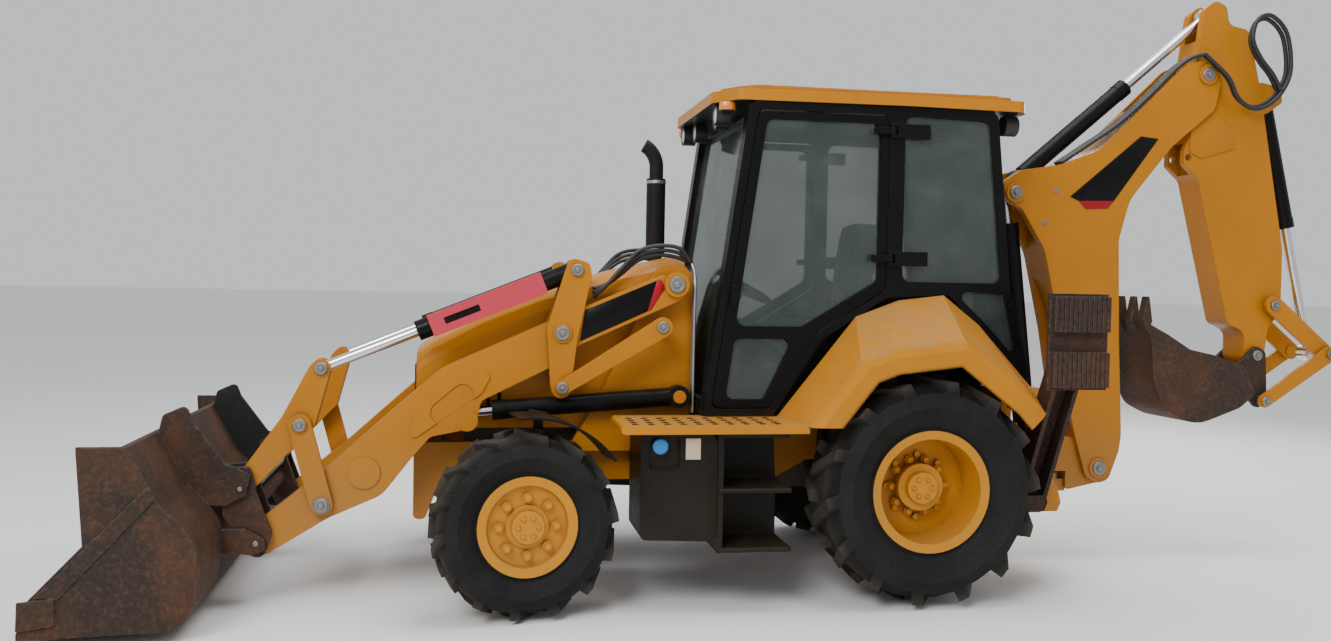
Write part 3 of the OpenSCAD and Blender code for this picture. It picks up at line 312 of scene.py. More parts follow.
@dataclass(frozen=True)
class MachinePaint:
    """Sprayed enamel with dust on what faces up, painted shade with grime in corners, and worn edges."""

    name: str
    colour: Colour
    faded: Colour
    dust: float = 0.35
    wear: float = 0.25
    gloss: float = 0.36
    speckle: float = 0.0
    stain: float = 0.16
    shine: float = 0.22
    dark_downward_faces: bool = False

    def make(self) -> bpy.types.Material:
        """Builds the material."""
        s = Sheet(self.name)
        rounded, edge = s.edges(0.006)
        broad, fine = s.noise(1.3, 5, 0.6), s.noise(38, 4, 0.6)
        run = s.noise(3.0, 5, 0.65, (3.0, 3.0, 0.5))
        height, up = s.part(s.place, "Z"), s.part(s.facing, "Z")
        tint = s.mix(broad.between(0.3, 0.7), self.colour, self.faded)
        tint = s.mix(run.between(0.52, 0.8, 0.0, self.stain), tint, (0.17, 0.085, 0.02))
        # Painted shade with dirt: inner corners, found from how little sky they see, are darkened to brown,
        # broken up by fine noise.
        corner_shade_and_dirt = s.corner_shade(0.11).between(0.25, 0.9) * fine.between(0.25, 0.6, 0.4, 1.0)
        tint = s.mix(corner_shade_and_dirt * 0.6, tint, (0.07, 0.045, 0.022))
        low = height.between(1.15, 0.35) * broad.between(0.3, 0.62)
        dust = (up.between(0.35, 0.95) * run.between(0.3, 0.65) + low * 0.8) * self.dust
        tint = s.mix(dust, tint, (0.27, 0.19, 0.10))
        chips = edge * s.noise(24, 5, 0.7).between(0.5, 0.62) * self.wear
        tint = s.mix(chips, tint, (0.09, 0.055, 0.035))
        # Faces that point down are painted near black.
        if self.dark_downward_faces:
            tint = s.mix(up.between(-0.4, -0.6), tint, (0.014, 0.014, 0.015))
        relief = s.noise(420, 2, 0.5) * 0.3 + fine * 0.4
        if self.speckle:
            grit = s.cells(90.0)
            spots = grit.between(0.32, 0.2) * up.between(0.7, 0.9) * self.speckle
            tint = s.mix(spots * 0.7, tint, (0.10, 0.07, 0.04))
            relief = relief + spots * 2.0
        rough = dust * 0.5 + chips * 0.3 + fine.between(0.3, 0.7, self.gloss - 0.06, self.gloss + 0.1)
        return s.finish(tint, rough, Normal=s.bump(relief, 0.12, 0.002, rounded), Coat_Weight=0.04,
                        Coat_Roughness=0.15, Specular_IOR_Level=self.shine)


@dataclass(frozen=True)
class WornSteel:
    """Bare digging steel: rust, faint scrapes and old dark paint."""

    name: str
    rust: Colour
    dark: Colour
    bright: float
    grain: Point
    ears: Optional[tuple[float, float]] = None

    def make(self) -> bpy.types.Material:
        """Builds the material; ears are the distances from the middle between which it is painted black."""
        s = Sheet(self.name)
        rounded, edge = s.edges(0.008)
        broad, fine = s.noise(1.7, 6, 0.62), s.noise(46, 6, 0.7)
        scrape = s.noise(7, 7, 0.75, self.grain)
        tint = s.mix(broad.between(0.40, 0.60), self.rust, self.dark)
        tint = s.mix(fine.between(0.45, 0.75, 0.0, 0.45), tint, (0.16, 0.062, 0.024))
        tint = s.mix(scrape.between(0.35, 0.7, 0.0, 0.5), tint, tuple(0.55 * c for c in self.dark))
        # Painted shade: inner corners, found from how little sky they see, are darkened to a dark brown.
        tint = s.mix(s.corner_shade(0.15).between(0.3, 0.95, 0.0, 0.6), tint, (0.030, 0.020, 0.014))
        bare = (scrape.between(0.56, 0.74) * broad.between(0.35, 0.6) * self.bright
                + edge * fine.between(0.35, 0.6) * 0.45)
        tint = s.mix(bare, tint, (0.22, 0.20, 0.185))
        if self.ears:
            across = s.part(s.place, "Y").size()
            inner, outer = self.ears
            black = across.between(inner, inner + 0.002) * across.between(outer, outer - 0.002)
            tint = s.mix(black * fine.between(0.7, 0.55, 0.6, 1.0), tint, (0.012, 0.012, 0.012))
        rough = fine.between(0.2, 0.8, 0.85, 0.62) - bare * 0.25
        relief = fine * 0.7 + scrape * 0.5
        return s.finish(tint, rough, Metallic=bare * 0.6, Specular_IOR_Level=0.25,
                        Normal=s.bump(relief, 0.35, 0.003, rounded))


@dataclass(frozen=True)
class TyreRubber:
    """Tyre rubber: dusty brown tread and darker side walls with fine rings."""

    name: str
    centre: Point
    axis: Point
    radius: float

    def make(self) -> bpy.types.Material:
        """Builds the material."""
        s = Sheet(self.name)
        rounded, edge = s.edges(0.006)
        arm = s.vector("SUBTRACT", s.place, self.centre)
        across = s.vector("CROSS_PRODUCT", arm, self.axis)
        radius = s.vector("LENGTH", across, (0.0, 0.0, 0.0), out=1) / self.radius
        fine, broad = s.noise(60, 5, 0.65), s.noise(5, 4, 0.6)
        tread = radius.between(0.86, 0.985)
        tint = s.mix(broad.between(0.3, 0.7), (0.007, 0.007, 0.0072), (0.013, 0.0125, 0.012))
        worn = tread * fine.between(0.2, 0.6, 0.35, 1.0) * broad.between(0.2, 0.6, 0.5, 1.0)
        tint = s.mix(worn * 0.6, tint, (0.075, 0.058, 0.044))
        tint = s.mix(edge * 0.3, tint, (0.09, 0.072, 0.056))
        # Painted shade: inner corners between the lugs, found from how little sky they see, are darkened to a
        # dark brown.
        tint = s.mix(s.corner_shade(0.08).between(0.35, 0.9, 0.0, 0.5), tint, (0.03, 0.022, 0.016))
        rings = s.wire("ShaderNodeMath", {"operation": "SINE"}, {0: radius * 420.0})
        side = radius.between(0.86, 0.8) * radius.between(0.5, 0.56)
        relief = fine * 0.6 + rings * side * 0.12
        return s.finish(tint, fine.between(0.2, 0.8, 0.62, 0.86), Specular_IOR_Level=0.2,
                        Normal=s.bump(relief, 0.3, 0.002, rounded))


def tinted_glass(s: Sheet) -> bpy.types.NodeSocket:
    """Tinted safety glass with a film of dust.

    Args:
        s: the material that it is part of.

    Returns:
        The surface.
    """
    film = s.noise(3, 5, 0.6).between(0.35, 0.8, 0.0, 0.10)
    sheen = s.wire("ShaderNodeFresnel", {}, {"IOR": 1.5})
    tint = s.mix(film * 4.0, (0.052, 0.076, 0.068), (0.18, 0.20, 0.18))
    return s.shader({"Base Color": tint, "Roughness": film * 1.2 + 0.03, "Alpha": film + sheen * 0.6 + 0.40,
                     "IOR": 1.5, "Specular IOR Level": 0.8})


@dataclass(frozen=True)
class CabGlass:
    """Panes of tinted glass."""

    name: str

    def make(self) -> bpy.types.Material:
        """Builds the material."""
        s = Sheet(self.name)
        return s.close(tinted_glass(s))


@dataclass(frozen=True)
class GlazedDoor:
    """A painted door frame round panes, told apart by their plane and the way they face."""

    name: str
    frame_paint: Colour
    pane: tuple[float, float]

    def make(self) -> bpy.types.Material:
        """Builds the material."""
        s = Sheet(self.name)
        rounded, edge = s.edges(0.005)
        fine = s.noise(40, 4, 0.6)
        across = s.part(s.place, "Y").size()
        flat = s.part(s.facing, "Y").size().between(0.90, 0.95)
        inside = across.between(self.pane[0] - 0.002, self.pane[0] - 0.001)
        pane = flat * inside * across.between(self.pane[1] + 0.002, self.pane[1] + 0.001)
        tint = s.mix(edge * fine.between(0.45, 0.65, 0.0, 0.25), self.frame_paint, (0.09, 0.085, 0.08))
        paint = s.shader({"Base Color": tint, "Roughness": fine.between(0.3, 0.7, 0.30, 0.42),
                          "Normal": rounded, "Specular IOR Level": 0.12})
        both = s.node("ShaderNodeMixShader", {}, {0: pane, 1: paint, 2: tinted_glass(s)})
        return s.close(both.outputs[0])


@dataclass(frozen=True)
class BareMetal:
    """Plain metal: plated rods, pin heads, pipes."""

    name: str
    colour: Colour
    metal: float
    rough: float
    stain: float

    def make(self) -> bpy.types.Material:
        """Builds the material."""
        s = Sheet(self.name)
        rounded, _ = s.edges(0.003)
        fine, smear = s.noise(70, 5, 0.65), s.noise(6, 5, 0.6)
        marks = smear.between(0.46, 0.75) * self.stain
        tint = s.mix(marks, self.colour, (0.12, 0.085, 0.055))
        # Painted shade: inner corners, found from how little sky they see, are darkened to a dark grey-brown.
        tint = s.mix(s.corner_shade(0.05).between(0.3, 0.9, 0.0, 0.6), tint, (0.04, 0.032, 0.025))
        rough = marks * 0.35 + fine.between(0.3, 0.7, self.rough - 0.03, self.rough + 0.07)
        return s.finish(tint, rough, Metallic=self.metal - marks * 0.5,
                        Normal=s.bump(fine, 0.08, 0.001, rounded))


@dataclass(frozen=True)
class Moulded:
    """Moulded rubber or plastic with a fine grain and dust on top."""

    name: str
    colour: Colour
    rough: float = 0.5
    grain: float = 300.0
    dust: float = 0.25

    def make(self) -> bpy.types.Material:
        """Builds the material."""
        s = Sheet(self.name)
        rounded, edge = s.edges(0.004)
        cells = s.cells(self.grain)
        broad = s.noise(4, 5, 0.6)
        up = s.part(s.facing, "Z").between(0.2, 0.95)
        dust = up * broad.between(0.3, 0.65) * self.dust
        tint = s.mix(dust, self.colour, (0.20, 0.165, 0.12))
        tint = s.mix(edge * 0.2, tint, (0.16, 0.15, 0.14))
        rough = dust * 0.3 + broad.between(0.3, 0.7, self.rough - 0.06, self.rough + 0.08)
        return s.finish(tint, rough, Normal=s.bump(cells, 0.1, 0.001, rounded))


@dataclass(frozen=True)
class SeatCloth:
    """Woven seat cover."""

    name: str
    colour: Colour

    def make(self) -> bpy.types.Material:
        """Builds the material."""
        s = Sheet(self.name)
        warp = s.waves("Y", 90.0)
        weft = s.waves("DIAGONAL", 70.0)
        weave = warp * 0.5 + weft * 0.5
        broad = s.noise(7, 4, 0.6)
        tint = s.mix(weave, self.colour, tuple(1.9 * c for c in self.colour))
        tint = s.mix(broad.between(0.4, 0.8, 0.0, 0.35), tint, (0.09, 0.08, 0.065))
        return s.finish(tint, 0.9, Normal=s.bump(weave, 0.4, 0.002), Sheen_Weight=0.3)


@dataclass(frozen=True)
class Lens:
    """A ribbed lamp lens."""

    name: str
    colour: Colour
    ribs: float

    def make(self) -> bpy.types.Material:
        """Builds the material."""
        s = Sheet(self.name)
        ribs = s.waves("Y", self.ribs)
        film = s.noise(30, 4, 0.6)
        tint = s.mix(film.between(0.4, 0.8, 0.0, 0.4), self.colour, (0.25, 0.21, 0.16))
        return s.finish(tint, film.between(0.3, 0.7, 0.1, 0.25), Normal=s.bump(ribs, 0.35, 0.003),
                        Coat_Weight=0.6)


class Finish(Enum):
    """Every finish on the machine, but for the tyres, which have one each."""

    BODY = MachinePaint("body_yellow", YELLOW, FADED_YELLOW, 0.22, 0.2, 0.34)
    ROOF = MachinePaint("roof_yellow", YELLOW, FADED_YELLOW, 0.25, 0.2, 0.34, dark_downward_faces=True)
    FRAME = MachinePaint("frame_yellow", (0.47, 0.170, 0.0015), (0.40, 0.148, 0.002), 0.35, 0.35, 0.40)
    DECK = MachinePaint("deck_yellow", (0.50, 0.188, 0.002), (0.43, 0.165, 0.003), 0.4, 0.3, 0.45, 0.6)
    RIM = MachinePaint("rim_yellow", (0.55, 0.215, 0.0015), (0.50, 0.20, 0.002), 0.2, 0.12, 0.36)
    BLACK = MachinePaint("cab_black", DEEP_BLACK, SOFT_BLACK, 0.05, 0.10, 0.32, stain=0.0, shine=0.1)
    TANK = MachinePaint("tank_black", DEEP_BLACK, (0.007, 0.0066, 0.0062), 0.06, 0.2, 0.42, stain=0.02,
                        shine=0.1)
    LOCK = MachinePaint("lock_red", (0.33, 0.004, 0.012), (0.27, 0.005, 0.014), 0.1, 0.25, 0.34, stain=0.05)
    IRON = MachinePaint("iron_grey", (0.035, 0.034, 0.033), (0.055, 0.05, 0.044), 0.3, 0.3, 0.55, stain=0.1)
    STACK = MachinePaint("stack_black", (0.010, 0.010, 0.0105), (0.018, 0.016, 0.014), 0.06, 0.3, 0.5,
                         stain=0.05, shine=0.1)
    PANEL = MachinePaint("panel_black", DEEP_BLACK, SOFT_BLACK, 0.04, 0.0, 0.3, stain=0.0, shine=0.1)
    STRIPE = MachinePaint("stripe_red", (0.34, 0.004, 0.012), (0.29, 0.006, 0.014), 0.05, 0.0, 0.32,
                          stain=0.0)
    DOOR = GlazedDoor("door_black", DEEP_BLACK, (0.674, 0.680))
    BUCKET = WornSteel("bucket_steel", (0.066, 0.030, 0.016), (0.028, 0.020, 0.016), 0.22, (1.4, 1.4, 0.7),
                       (0.606, 0.638))
    HOE = WornSteel("hoe_steel", (0.072, 0.032, 0.018), (0.036, 0.024, 0.018), 0.18, (1.2, 0.8, 1.0))
    COUPLER = WornSteel("coupler_steel", (0.060, 0.030, 0.018), (0.030, 0.021, 0.017), 0.15, (1.0, 1.0, 2.0))
    LEG = WornSteel("leg_steel", (0.070, 0.030, 0.015), (0.032, 0.020, 0.015), 0.12, (1.0, 1.0, 1.5))
    GLASS = CabGlass("cab_glass_tint")
    CHROME = BareMetal("rod_chrome_plate", (0.72, 0.72, 0.73), 1.0, 0.14, 0.25)
    PIN = BareMetal("pin_grey", (0.24, 0.235, 0.225), 0.75, 0.42, 0.6)
    PIPE = BareMetal("pipe_steel", (0.42, 0.41, 0.39), 0.9, 0.34, 0.5)
    HOSE = Moulded("hose_rubber", (0.014, 0.014, 0.015), 0.52, 260.0, 0.35)
    PLASTIC = Moulded("trim_black", (0.016, 0.016, 0.017), 0.46, 420.0, 0.3)
    GRILLE = Moulded("grille_black", (0.018, 0.018, 0.018), 0.5, 300.0, 0.4)
    CAP = Moulded("cap_blue", (0.010, 0.16, 0.42), 0.4, 240.0, 0.1)
    GRIP = Moulded("grip_beige", (0.50, 0.40, 0.26), 0.9, 130.0, 0.2)
    CLOTH = SeatCloth("seat_cloth", (0.028, 0.028, 0.030))
    CLEAR = Lens("lamp_clear", (0.62, 0.64, 0.64), 60.0)
    AMBER = Lens("lamp_amber", (0.78, 0.20, 0.012), 45.0)

    @property
    def material(self) -> bpy.types.Material:
        """The finish's material, made once."""
        found = bpy.data.materials.get(self.value.name)
        return found or self.value.make()


NODE_FINISH: dict[Finish, tuple[str, ...]] = {
    Finish.BODY: ("hood",),
    Finish.ROOF: ("roof",),
    Finish.FRAME: ("main_frame", "arms", "rear_levers", "links", "front_levers", "idlers", "swing_frame",
                   "boom", "stick", "guide_links", "power_links"),
    Finish.DECK: ("fenders",),
    Finish.RIM: ("front_rim_left", "front_rim_right", "rear_rim_left", "rear_rim_right"),
    Finish.BLACK: ("cab_frame", "lift_barrels", "tilt_barrels", "boom_barrel", "stick_barrel", "dig_barrel"),
    Finish.DOOR: ("door_left", "door_right"),
    Finish.TANK: ("tank_box", "knuckle_left", "knuckle_right"),
    Finish.LOCK: ("arm_lock",),
    Finish.IRON: ("engine", "front_axle", "rear_axle"),
    Finish.STACK: ("stack",),
    Finish.BUCKET: ("bucket",),
    Finish.HOE: ("hoe_bucket",),
    Finish.COUPLER: ("coupler",),
    Finish.LEG: ("leg_left", "leg_right", "pad_left", "pad_right"),
    Finish.GLASS: ("cab_glass",),
    Finish.CHROME: ("lift_rods", "tilt_rods", "boom_rod", "stick_rod", "dig_rod"),
    Finish.PIN: ("lever_pins", "idler_pins", "coupler_pins", "tilt_pistons"),
    Finish.PLASTIC: ("console", "lamps"),
    Finish.GRILLE: ("grille",),
    Finish.CLOTH: ("seat",),
}


def add_object(name: str, data: bpy.types.ID) -> bpy.types.Object:
    """Puts an object in the scene."""
    item = bpy.data.objects.new(name, data)
    bpy.context.scene.collection.objects.link(item)
    return item


def dress(item: bpy.types.Object, material: bpy.types.Material) -> None:
    """Gives an object one material."""
    item.data.materials.clear()
    item.data.materials.append(material)


class Workpiece:
    """One mesh in the making, in millimetres from the rear axle."""

    def __init__(self, name: str, finish: Finish, slot: str) -> None:
        """Starts an empty mesh."""
        self.name, self.finish, self.slot = name, finish, slot
        self.bm = bmesh.new()

    def _join(self, part: bmesh.types.BMesh, bevel: float = 0.0) -> None:
        """Softens a closed shape's sharp edges and adds it to the mesh."""
        bmesh.ops.remove_doubles(part, verts=part.verts, dist=1e-5)
        bmesh.ops.recalc_face_normals(part, faces=part.faces)
        if bevel:
            sharp = [e for e in part.edges if e.is_manifold and e.calc_face_angle(0.0) > SMOOTH_ANGLE]
            bmesh.ops.bevel(part, geom=sharp, offset=bevel * MM, segments=2, profile=0.5,
                            affect="EDGES", clamp_overlap=True)
        self._take(part)

    def _take(self, part: bmesh.types.BMesh) -> None:
        """Moves a shape into the mesh."""
        mesh = bpy.data.meshes.new("part")
        part.to_mesh(mesh)
        part.free()
        self.bm.from_mesh(mesh)
        bpy.data.meshes.remove(mesh)

    def prism(self, outline: Sequence[Flat], y0: float, y1: float, bevel: float = 2.0) -> "Workpiece":
        """Adds a plate with a side-view outline.

        Args:
            outline: its corners, as X and Z.
            y0: first face.
            y1: second face.
            bevel: rounding of its edges.

        Returns:
            The workpiece.
        """
        part = bmesh.new()
        rings = [[part.verts.new(spot(x, y, z)) for x, z in outline] for y in (y0, y1)]
        part.faces.new(rings[0])
        part.faces.new(list(reversed(rings[1])))
        for i in range(len(outline)):
            k = (i + 1) % len(outline)
            part.faces.new((rings[0][i], rings[1][i], rings[1][k], rings[0][k]))
        self._join(part, bevel)
        return self

    def box(self, low: Point, high: Point, bevel: float = 3.0) -> "Workpiece":
        """Adds a softened block between two corners."""
        return self.prism([(low[0], low[2]), (high[0], low[2]), (high[0], high[2]), (low[0], high[2])],
                          low[1], high[1], bevel)

    def lathe(self, profile: Sequence[Flat], centre: Point, axis: Point, sides: int = 28) -> "Workpiece":
        """Adds a turned form.

        Args:
            profile: radius and distance along the axis, from end to end.
            centre: where the distance is 0.
            axis: direction of the axis.
            sides: facets around.

        Returns:
            The workpiece.
        """
        part = bmesh.new()
        turn = Vector(axis).normalized().to_track_quat("Z", "Y").to_matrix()
        rings = []
        for radius, along in profile:
            rings.append([part.verts.new(spot(*centre) + turn @ Vector((
                radius * MM * math.cos(2 * math.pi * i / sides),
                radius * MM * math.sin(2 * math.pi * i / sides), along * MM))) for i in range(sides)])
        for a, b in zip(rings, rings[1:]):
            for i in range(sides):
                k = (i + 1) % sides
                part.faces.new((a[i], a[k], b[k], b[i]))
        part.faces.new(list(reversed(rings[0])))
        part.faces.new(rings[-1])
        self._join(part)
        return self

    def mirrored(self) -> "Workpiece":
        """Adds the same on the machine's other side."""
        copy = self.bm.copy()
        bmesh.ops.scale(copy, vec=(1.0, -1.0, 1.0), verts=copy.verts)
        bmesh.ops.reverse_faces(copy, faces=copy.faces)
        self._take(copy)
        return self

    def loose(self) -> bpy.types.Object:
        """The object, on no body yet."""
        mesh = bpy.data.meshes.new(self.name)
        self.bm.to_mesh(mesh)
        self.bm.free()
        item = add_object(self.name, mesh)
        dress(item, self.finish.material)
        mesh.shade_smooth()
        mesh.set_sharp_from_angle(angle=SMOOTH_ANGLE)
        return item

    def on(self, body: str) -> bpy.types.Object:
        """The object, riding on a body."""
        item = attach(self.loose(), body)
        LOG.info("%s rides on %s", self.name, body)
        return item


class Growth(Graph):
    """A Geometry Nodes tree with named inputs, used once on an object and turned into a plain mesh."""

    def __init__(self, name: str, inputs: Sequence[tuple[str, str]]) -> None:
        """Makes the tree's inputs.

        Args:
            name: the tree's name.
            inputs: name and socket type of each input after the geometry.
        """
        super().__init__(bpy.data.node_groups.new(name, "GeometryNodeTree"))
        face = self.tree.interface
        face.new_socket("Geometry", in_out="INPUT", socket_type="NodeSocketGeometry")
        for label, kind in (*inputs, ("Material", "NodeSocketMaterial")):
            face.new_socket(label, in_out="INPUT", socket_type=kind)
        face.new_socket("Geometry", in_out="OUTPUT", socket_type="NodeSocketGeometry")
        self.given = self.node("NodeGroupInput").outputs

    def copies(self, points: bpy.types.Node) -> bpy.types.Node:
        """The item's own mesh on each of these points."""
        return self.node("GeometryNodeInstanceOnPoints",
                         sockets={"Points": points.outputs[0], "Instance": self.given["Geometry"]})

    def close(self, geometry: bpy.types.NodeSocket) -> None:
        """Ends the tree in Realize Instances and Set Material."""
        real = self.node("GeometryNodeRealizeInstances", sockets={0: geometry})
        dressed = self.node("GeometryNodeSetMaterial",
                            sockets={"Geometry": real.outputs[0], "Material": self.given["Material"]})
        self.node("NodeGroupOutput", sockets={0: dressed.outputs[0]})

    def grow(self, item: bpy.types.Object, values: dict[str, Any]) -> bpy.types.Object:
        """Runs the tree on an object.

        Args:
            item: the object whose mesh goes in.
            values: its inputs by name.

        Returns:
            The same object with the finished mesh.
        """
        names = {s.name: s.identifier for s in self.tree.interface.items_tree if s.in_out == "INPUT"}
        maker = item.modifiers.new("grow", "NODES")
        maker.node_group = self.tree
        maker[names["Material"]] = item.data.materials[0]
        for name, value in values.items():
            maker[names[name]] = value
        bpy.context.view_layer.update()
        grown = bpy.data.meshes.new_from_object(item.evaluated_get(bpy.context.evaluated_depsgraph_get()))
        item.modifiers.remove(maker)
        old, item.data = item.data, grown
        bpy.data.meshes.remove(old)
        grown.name = item.name
        return item


class RingOf(Growth):
    """The item's own mesh repeated around a circle."""

    def __init__(self) -> None:
        """Builds the tree."""
        super().__init__("ring_of", [("Count", "NodeSocketInt"), ("Radius", "NodeSocketFloat"),
                                     ("Centre", "NodeSocketVector"), ("Turn", "NodeSocketVector")])
        circle = self.node("GeometryNodeMeshCircle",
                           sockets={"Vertices": self.given["Count"], "Radius": self.given["Radius"]})
        items = self.copies(circle)
        placed = self.node("GeometryNodeTransform", sockets={
            "Geometry": items.outputs[0], "Translation": self.given["Centre"],
            "Rotation": self.given["Turn"]})
        self.close(placed.outputs[0])


class RowOf(Growth):
    """The item's own mesh repeated in a straight row."""

    def __init__(self) -> None:
        """Builds the tree."""
        super().__init__("row_of", [("Count", "NodeSocketInt"), ("Step", "NodeSocketVector")])
        line = self.node("GeometryNodeMeshLine", {"mode": "OFFSET"}, {
            "Count": self.given["Count"], "Offset": self.given["Step"]})
        self.close(self.copies(line).outputs[0])


class TubeOf(Growth):
    """A round tube along the item's polyline."""

    def __init__(self) -> None:
        """Builds the tree."""
        super().__init__("tube_of", [("Radius", "NodeSocketFloat"), ("Sides", "NodeSocketInt")])
        line = self.node("GeometryNodeMeshToCurve", sockets={0: self.given["Geometry"]})
        ring = self.node("GeometryNodeCurvePrimitiveCircle", sockets={
            "Resolution": self.given["Sides"], "Radius": self.given["Radius"]})
        tube = self.node("GeometryNodeCurveToMesh", sockets={
            "Curve": line.outputs[0], "Profile Curve": ring.outputs[0], "Fill Caps": True})
        soft = self.node("GeometryNodeSetShadeSmooth", sockets={0: tube.outputs[0]})
        self.close(soft.outputs[0])


@dataclass
class Workshop:
    """The Geometry Nodes trees that the sub-assemblies share."""

    ring: RingOf = field(default_factory=RingOf)
    row: RowOf = field(default_factory=RowOf)
    tube: TubeOf = field(default_factory=TubeOf)

    def pipe(self, name: str, finish: Finish, slot: str, points: Sequence[Point], radius: float,
             sides: int = 12) -> tuple[bpy.types.Object, list[Vector]]:
        """A tube along a rounded route.

        Args:
            name: the piece's name.
            finish: its finish.
            slot: the record's material slot; not used.
            points: the route's places, in millimetres from the rear axle.
            radius: the tube's radius in millimetres.
            sides: facets around.

        Returns:
            The object, on no body yet, and its route in metres.
        """
        route = [spot(*p) for p in smooth_path(points)]
        mesh = bpy.data.meshes.new(name)
        mesh.from_pydata([tuple(p) for p in route], [(i, i + 1) for i in range(len(route) - 1)], [])
        item = add_object(name, mesh)
        dress(item, finish.material)
        self.tube.grow(item, {"Radius": radius * MM, "Sides": sides})
        return item, route


def length_of(route: Sequence[Vector]) -> float:
    """Length of a route in metres."""
    return sum((b - a).length for a, b in zip(route, route[1:]))


def nut(name: str, across: float, height: float) -> Workpiece:
    """A hexagon head on a washer, at the frame's origin and along Z.

    Args:
        name: the piece's name.
        across: width over the flats in millimetres.
        height: its height in millimetres.

    Returns:
        The workpiece.
    """
    home = (-REAR_AXLE_X / MM, 0.0, 0.0)
    piece = Workpiece(name, Finish.RIM, "body_paint")
    piece.lathe([(across * 0.78, -1), (across * 0.78, height * 0.16), (across * 0.74, height * 0.2)],
                home, (0, 0, 1), 14)
    corner = across / math.sqrt(3)
    piece.lathe([(corner, 0), (corner, height * 0.9), (corner * 0.88, height)], home, (0, 0, 1), 6)
    return piece


@dataclass
class WheelTrim:
    """Nuts and hub bolts of one wheel."""

    shop: Workshop
    body: str
    centre: Vector
    axis: Vector
    side: int
    nut_count: int
    nut_radius: float
    nut_face: float
    hub_face: float
    hub_radius: float

    def at(self, face: float) -> Vector:
        """A place on the wheel's axle, at a face given in millimetres outwards."""
        return self.centre + self.axis * (self.side * face * MM)

    def heads(self, name: str, size: Flat, count: int, radius: float, face: float) -> None:
        """A ring of hexagon heads.

        Args:
            name: what they are.
            size: width over the flats and height, in millimetres.
            count: how many there are.
            radius: the ring's radius in millimetres.
            face: how far out they sit on the axle, in millimetres.
        """
        item = nut(f"{self.body}_{name}", *size).loose()
        steer = math.atan2(-self.axis.x, self.axis.y)
        self.shop.ring.grow(item, {"Count": count, "Radius": radius * MM, "Centre": tuple(self.at(face)),
                                   "Turn": (-self.side * math.pi / 2, 0.0, steer)})
        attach(item, self.body)

    def build(self) -> None:
        """Makes the pieces."""
        self.heads("nuts", (34, 22), self.nut_count, self.nut_radius, self.nut_face)
        self.heads("hub_bolts", (20, 11), 6, self.hub_radius, self.hub_face)
        LOG.info("%s has its nuts", self.body)


@dataclass
class Seat:
    """Suspension seat with two padded cushions."""

    cushion_low: Point = (120, -245, 1400)
    cushion_high: Point = (645, 245, 1520)
    back_low: Point = (60, -235, 1500)
    back_high: Point = (210, 235, 2120)

    def pad(self, name: str, low: Point, high: Point, lean: float, channels: int) -> bpy.types.Object:
        """A crowned cushion with sewn channels.

        Args:
            name: the piece's name.
            low: its lowest corner.
            high: its highest corner.
            lean: how far its top leans back, in millimetres.
            channels: number of sewn channels across it.

        Returns:
            The object.
        """
        piece = Workpiece(name, Finish.CLOTH, "seat_fabric")
        bm = piece.bm
        bmesh.ops.create_cube(bm, size=2.0)
        bmesh.ops.subdivide_edges(bm, edges=bm.edges, cuts=19, use_grid_fill=True)
        middle = [(a + b) / 2 for a, b in zip(low, high)]
        half = [(b - a) / 2 for a, b in zip(low, high)]
        flat = min(range(3), key=lambda i: half[i])
        for vert in bm.verts:
            unit = list(vert.co)
            wide = [unit[i] for i in range(3) if i != flat]
            edge = (1 - abs(wide[0]) ** 5) * (1 - abs(wide[1]) ** 5)
            seam = 1 - 0.16 * math.exp(-((math.cos(math.pi * channels * wide[0] / 2)) ** 2) / 0.02) \
                if abs(wide[0]) < 0.85 else 1.0
            scaled = [unit[i] * (0.93 + 0.07 * (1 - abs(unit[3 - i - flat]) ** 2)) if i != flat
                      else unit[i] * (0.55 + 0.45 * edge) * seam for i in range(3)]
            x, y, z = (middle[i] + scaled[i] * half[i] for i in range(3))
            vert.co = spot(x - lean * (z - low[2]) / max(1.0, high[2] - low[2]), y, z)
        bmesh.ops.recalc_face_normals(bm, faces=bm.faces)
        item = piece.loose()
        soft = item.modifiers.new("soft", "SUBSURF")
        soft.levels = soft.render_levels = 1
        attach(item, "chassis")
        return item

    def build(self) -> None:
        """Makes the seat in place of its plain solid."""
        base = self.pad("seat_cushion", self.cushion_low, self.cushion_high, 0.0, 5)
        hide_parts("seat")
        self.pad("seat_back", self.back_low, self.back_high, 70.0, 5)
        stand = Workpiece("seat_stand", Finish.PLASTIC, "trim_plastic")
        stand.box((180, -200, 1206), (600, 200, 1240), 8)
        for i in range(4):
            stand.box((220 + 6 * (i % 2), -160 + 8 * (i % 2), 1240 + 34 * i),
                      (570 - 6 * (i % 2), 160 - 8 * (i % 2), 1274 + 34 * i), 14)
        stand.box((150, -220, 1372), (620, 220, 1402), 8)
        stand.on("chassis")


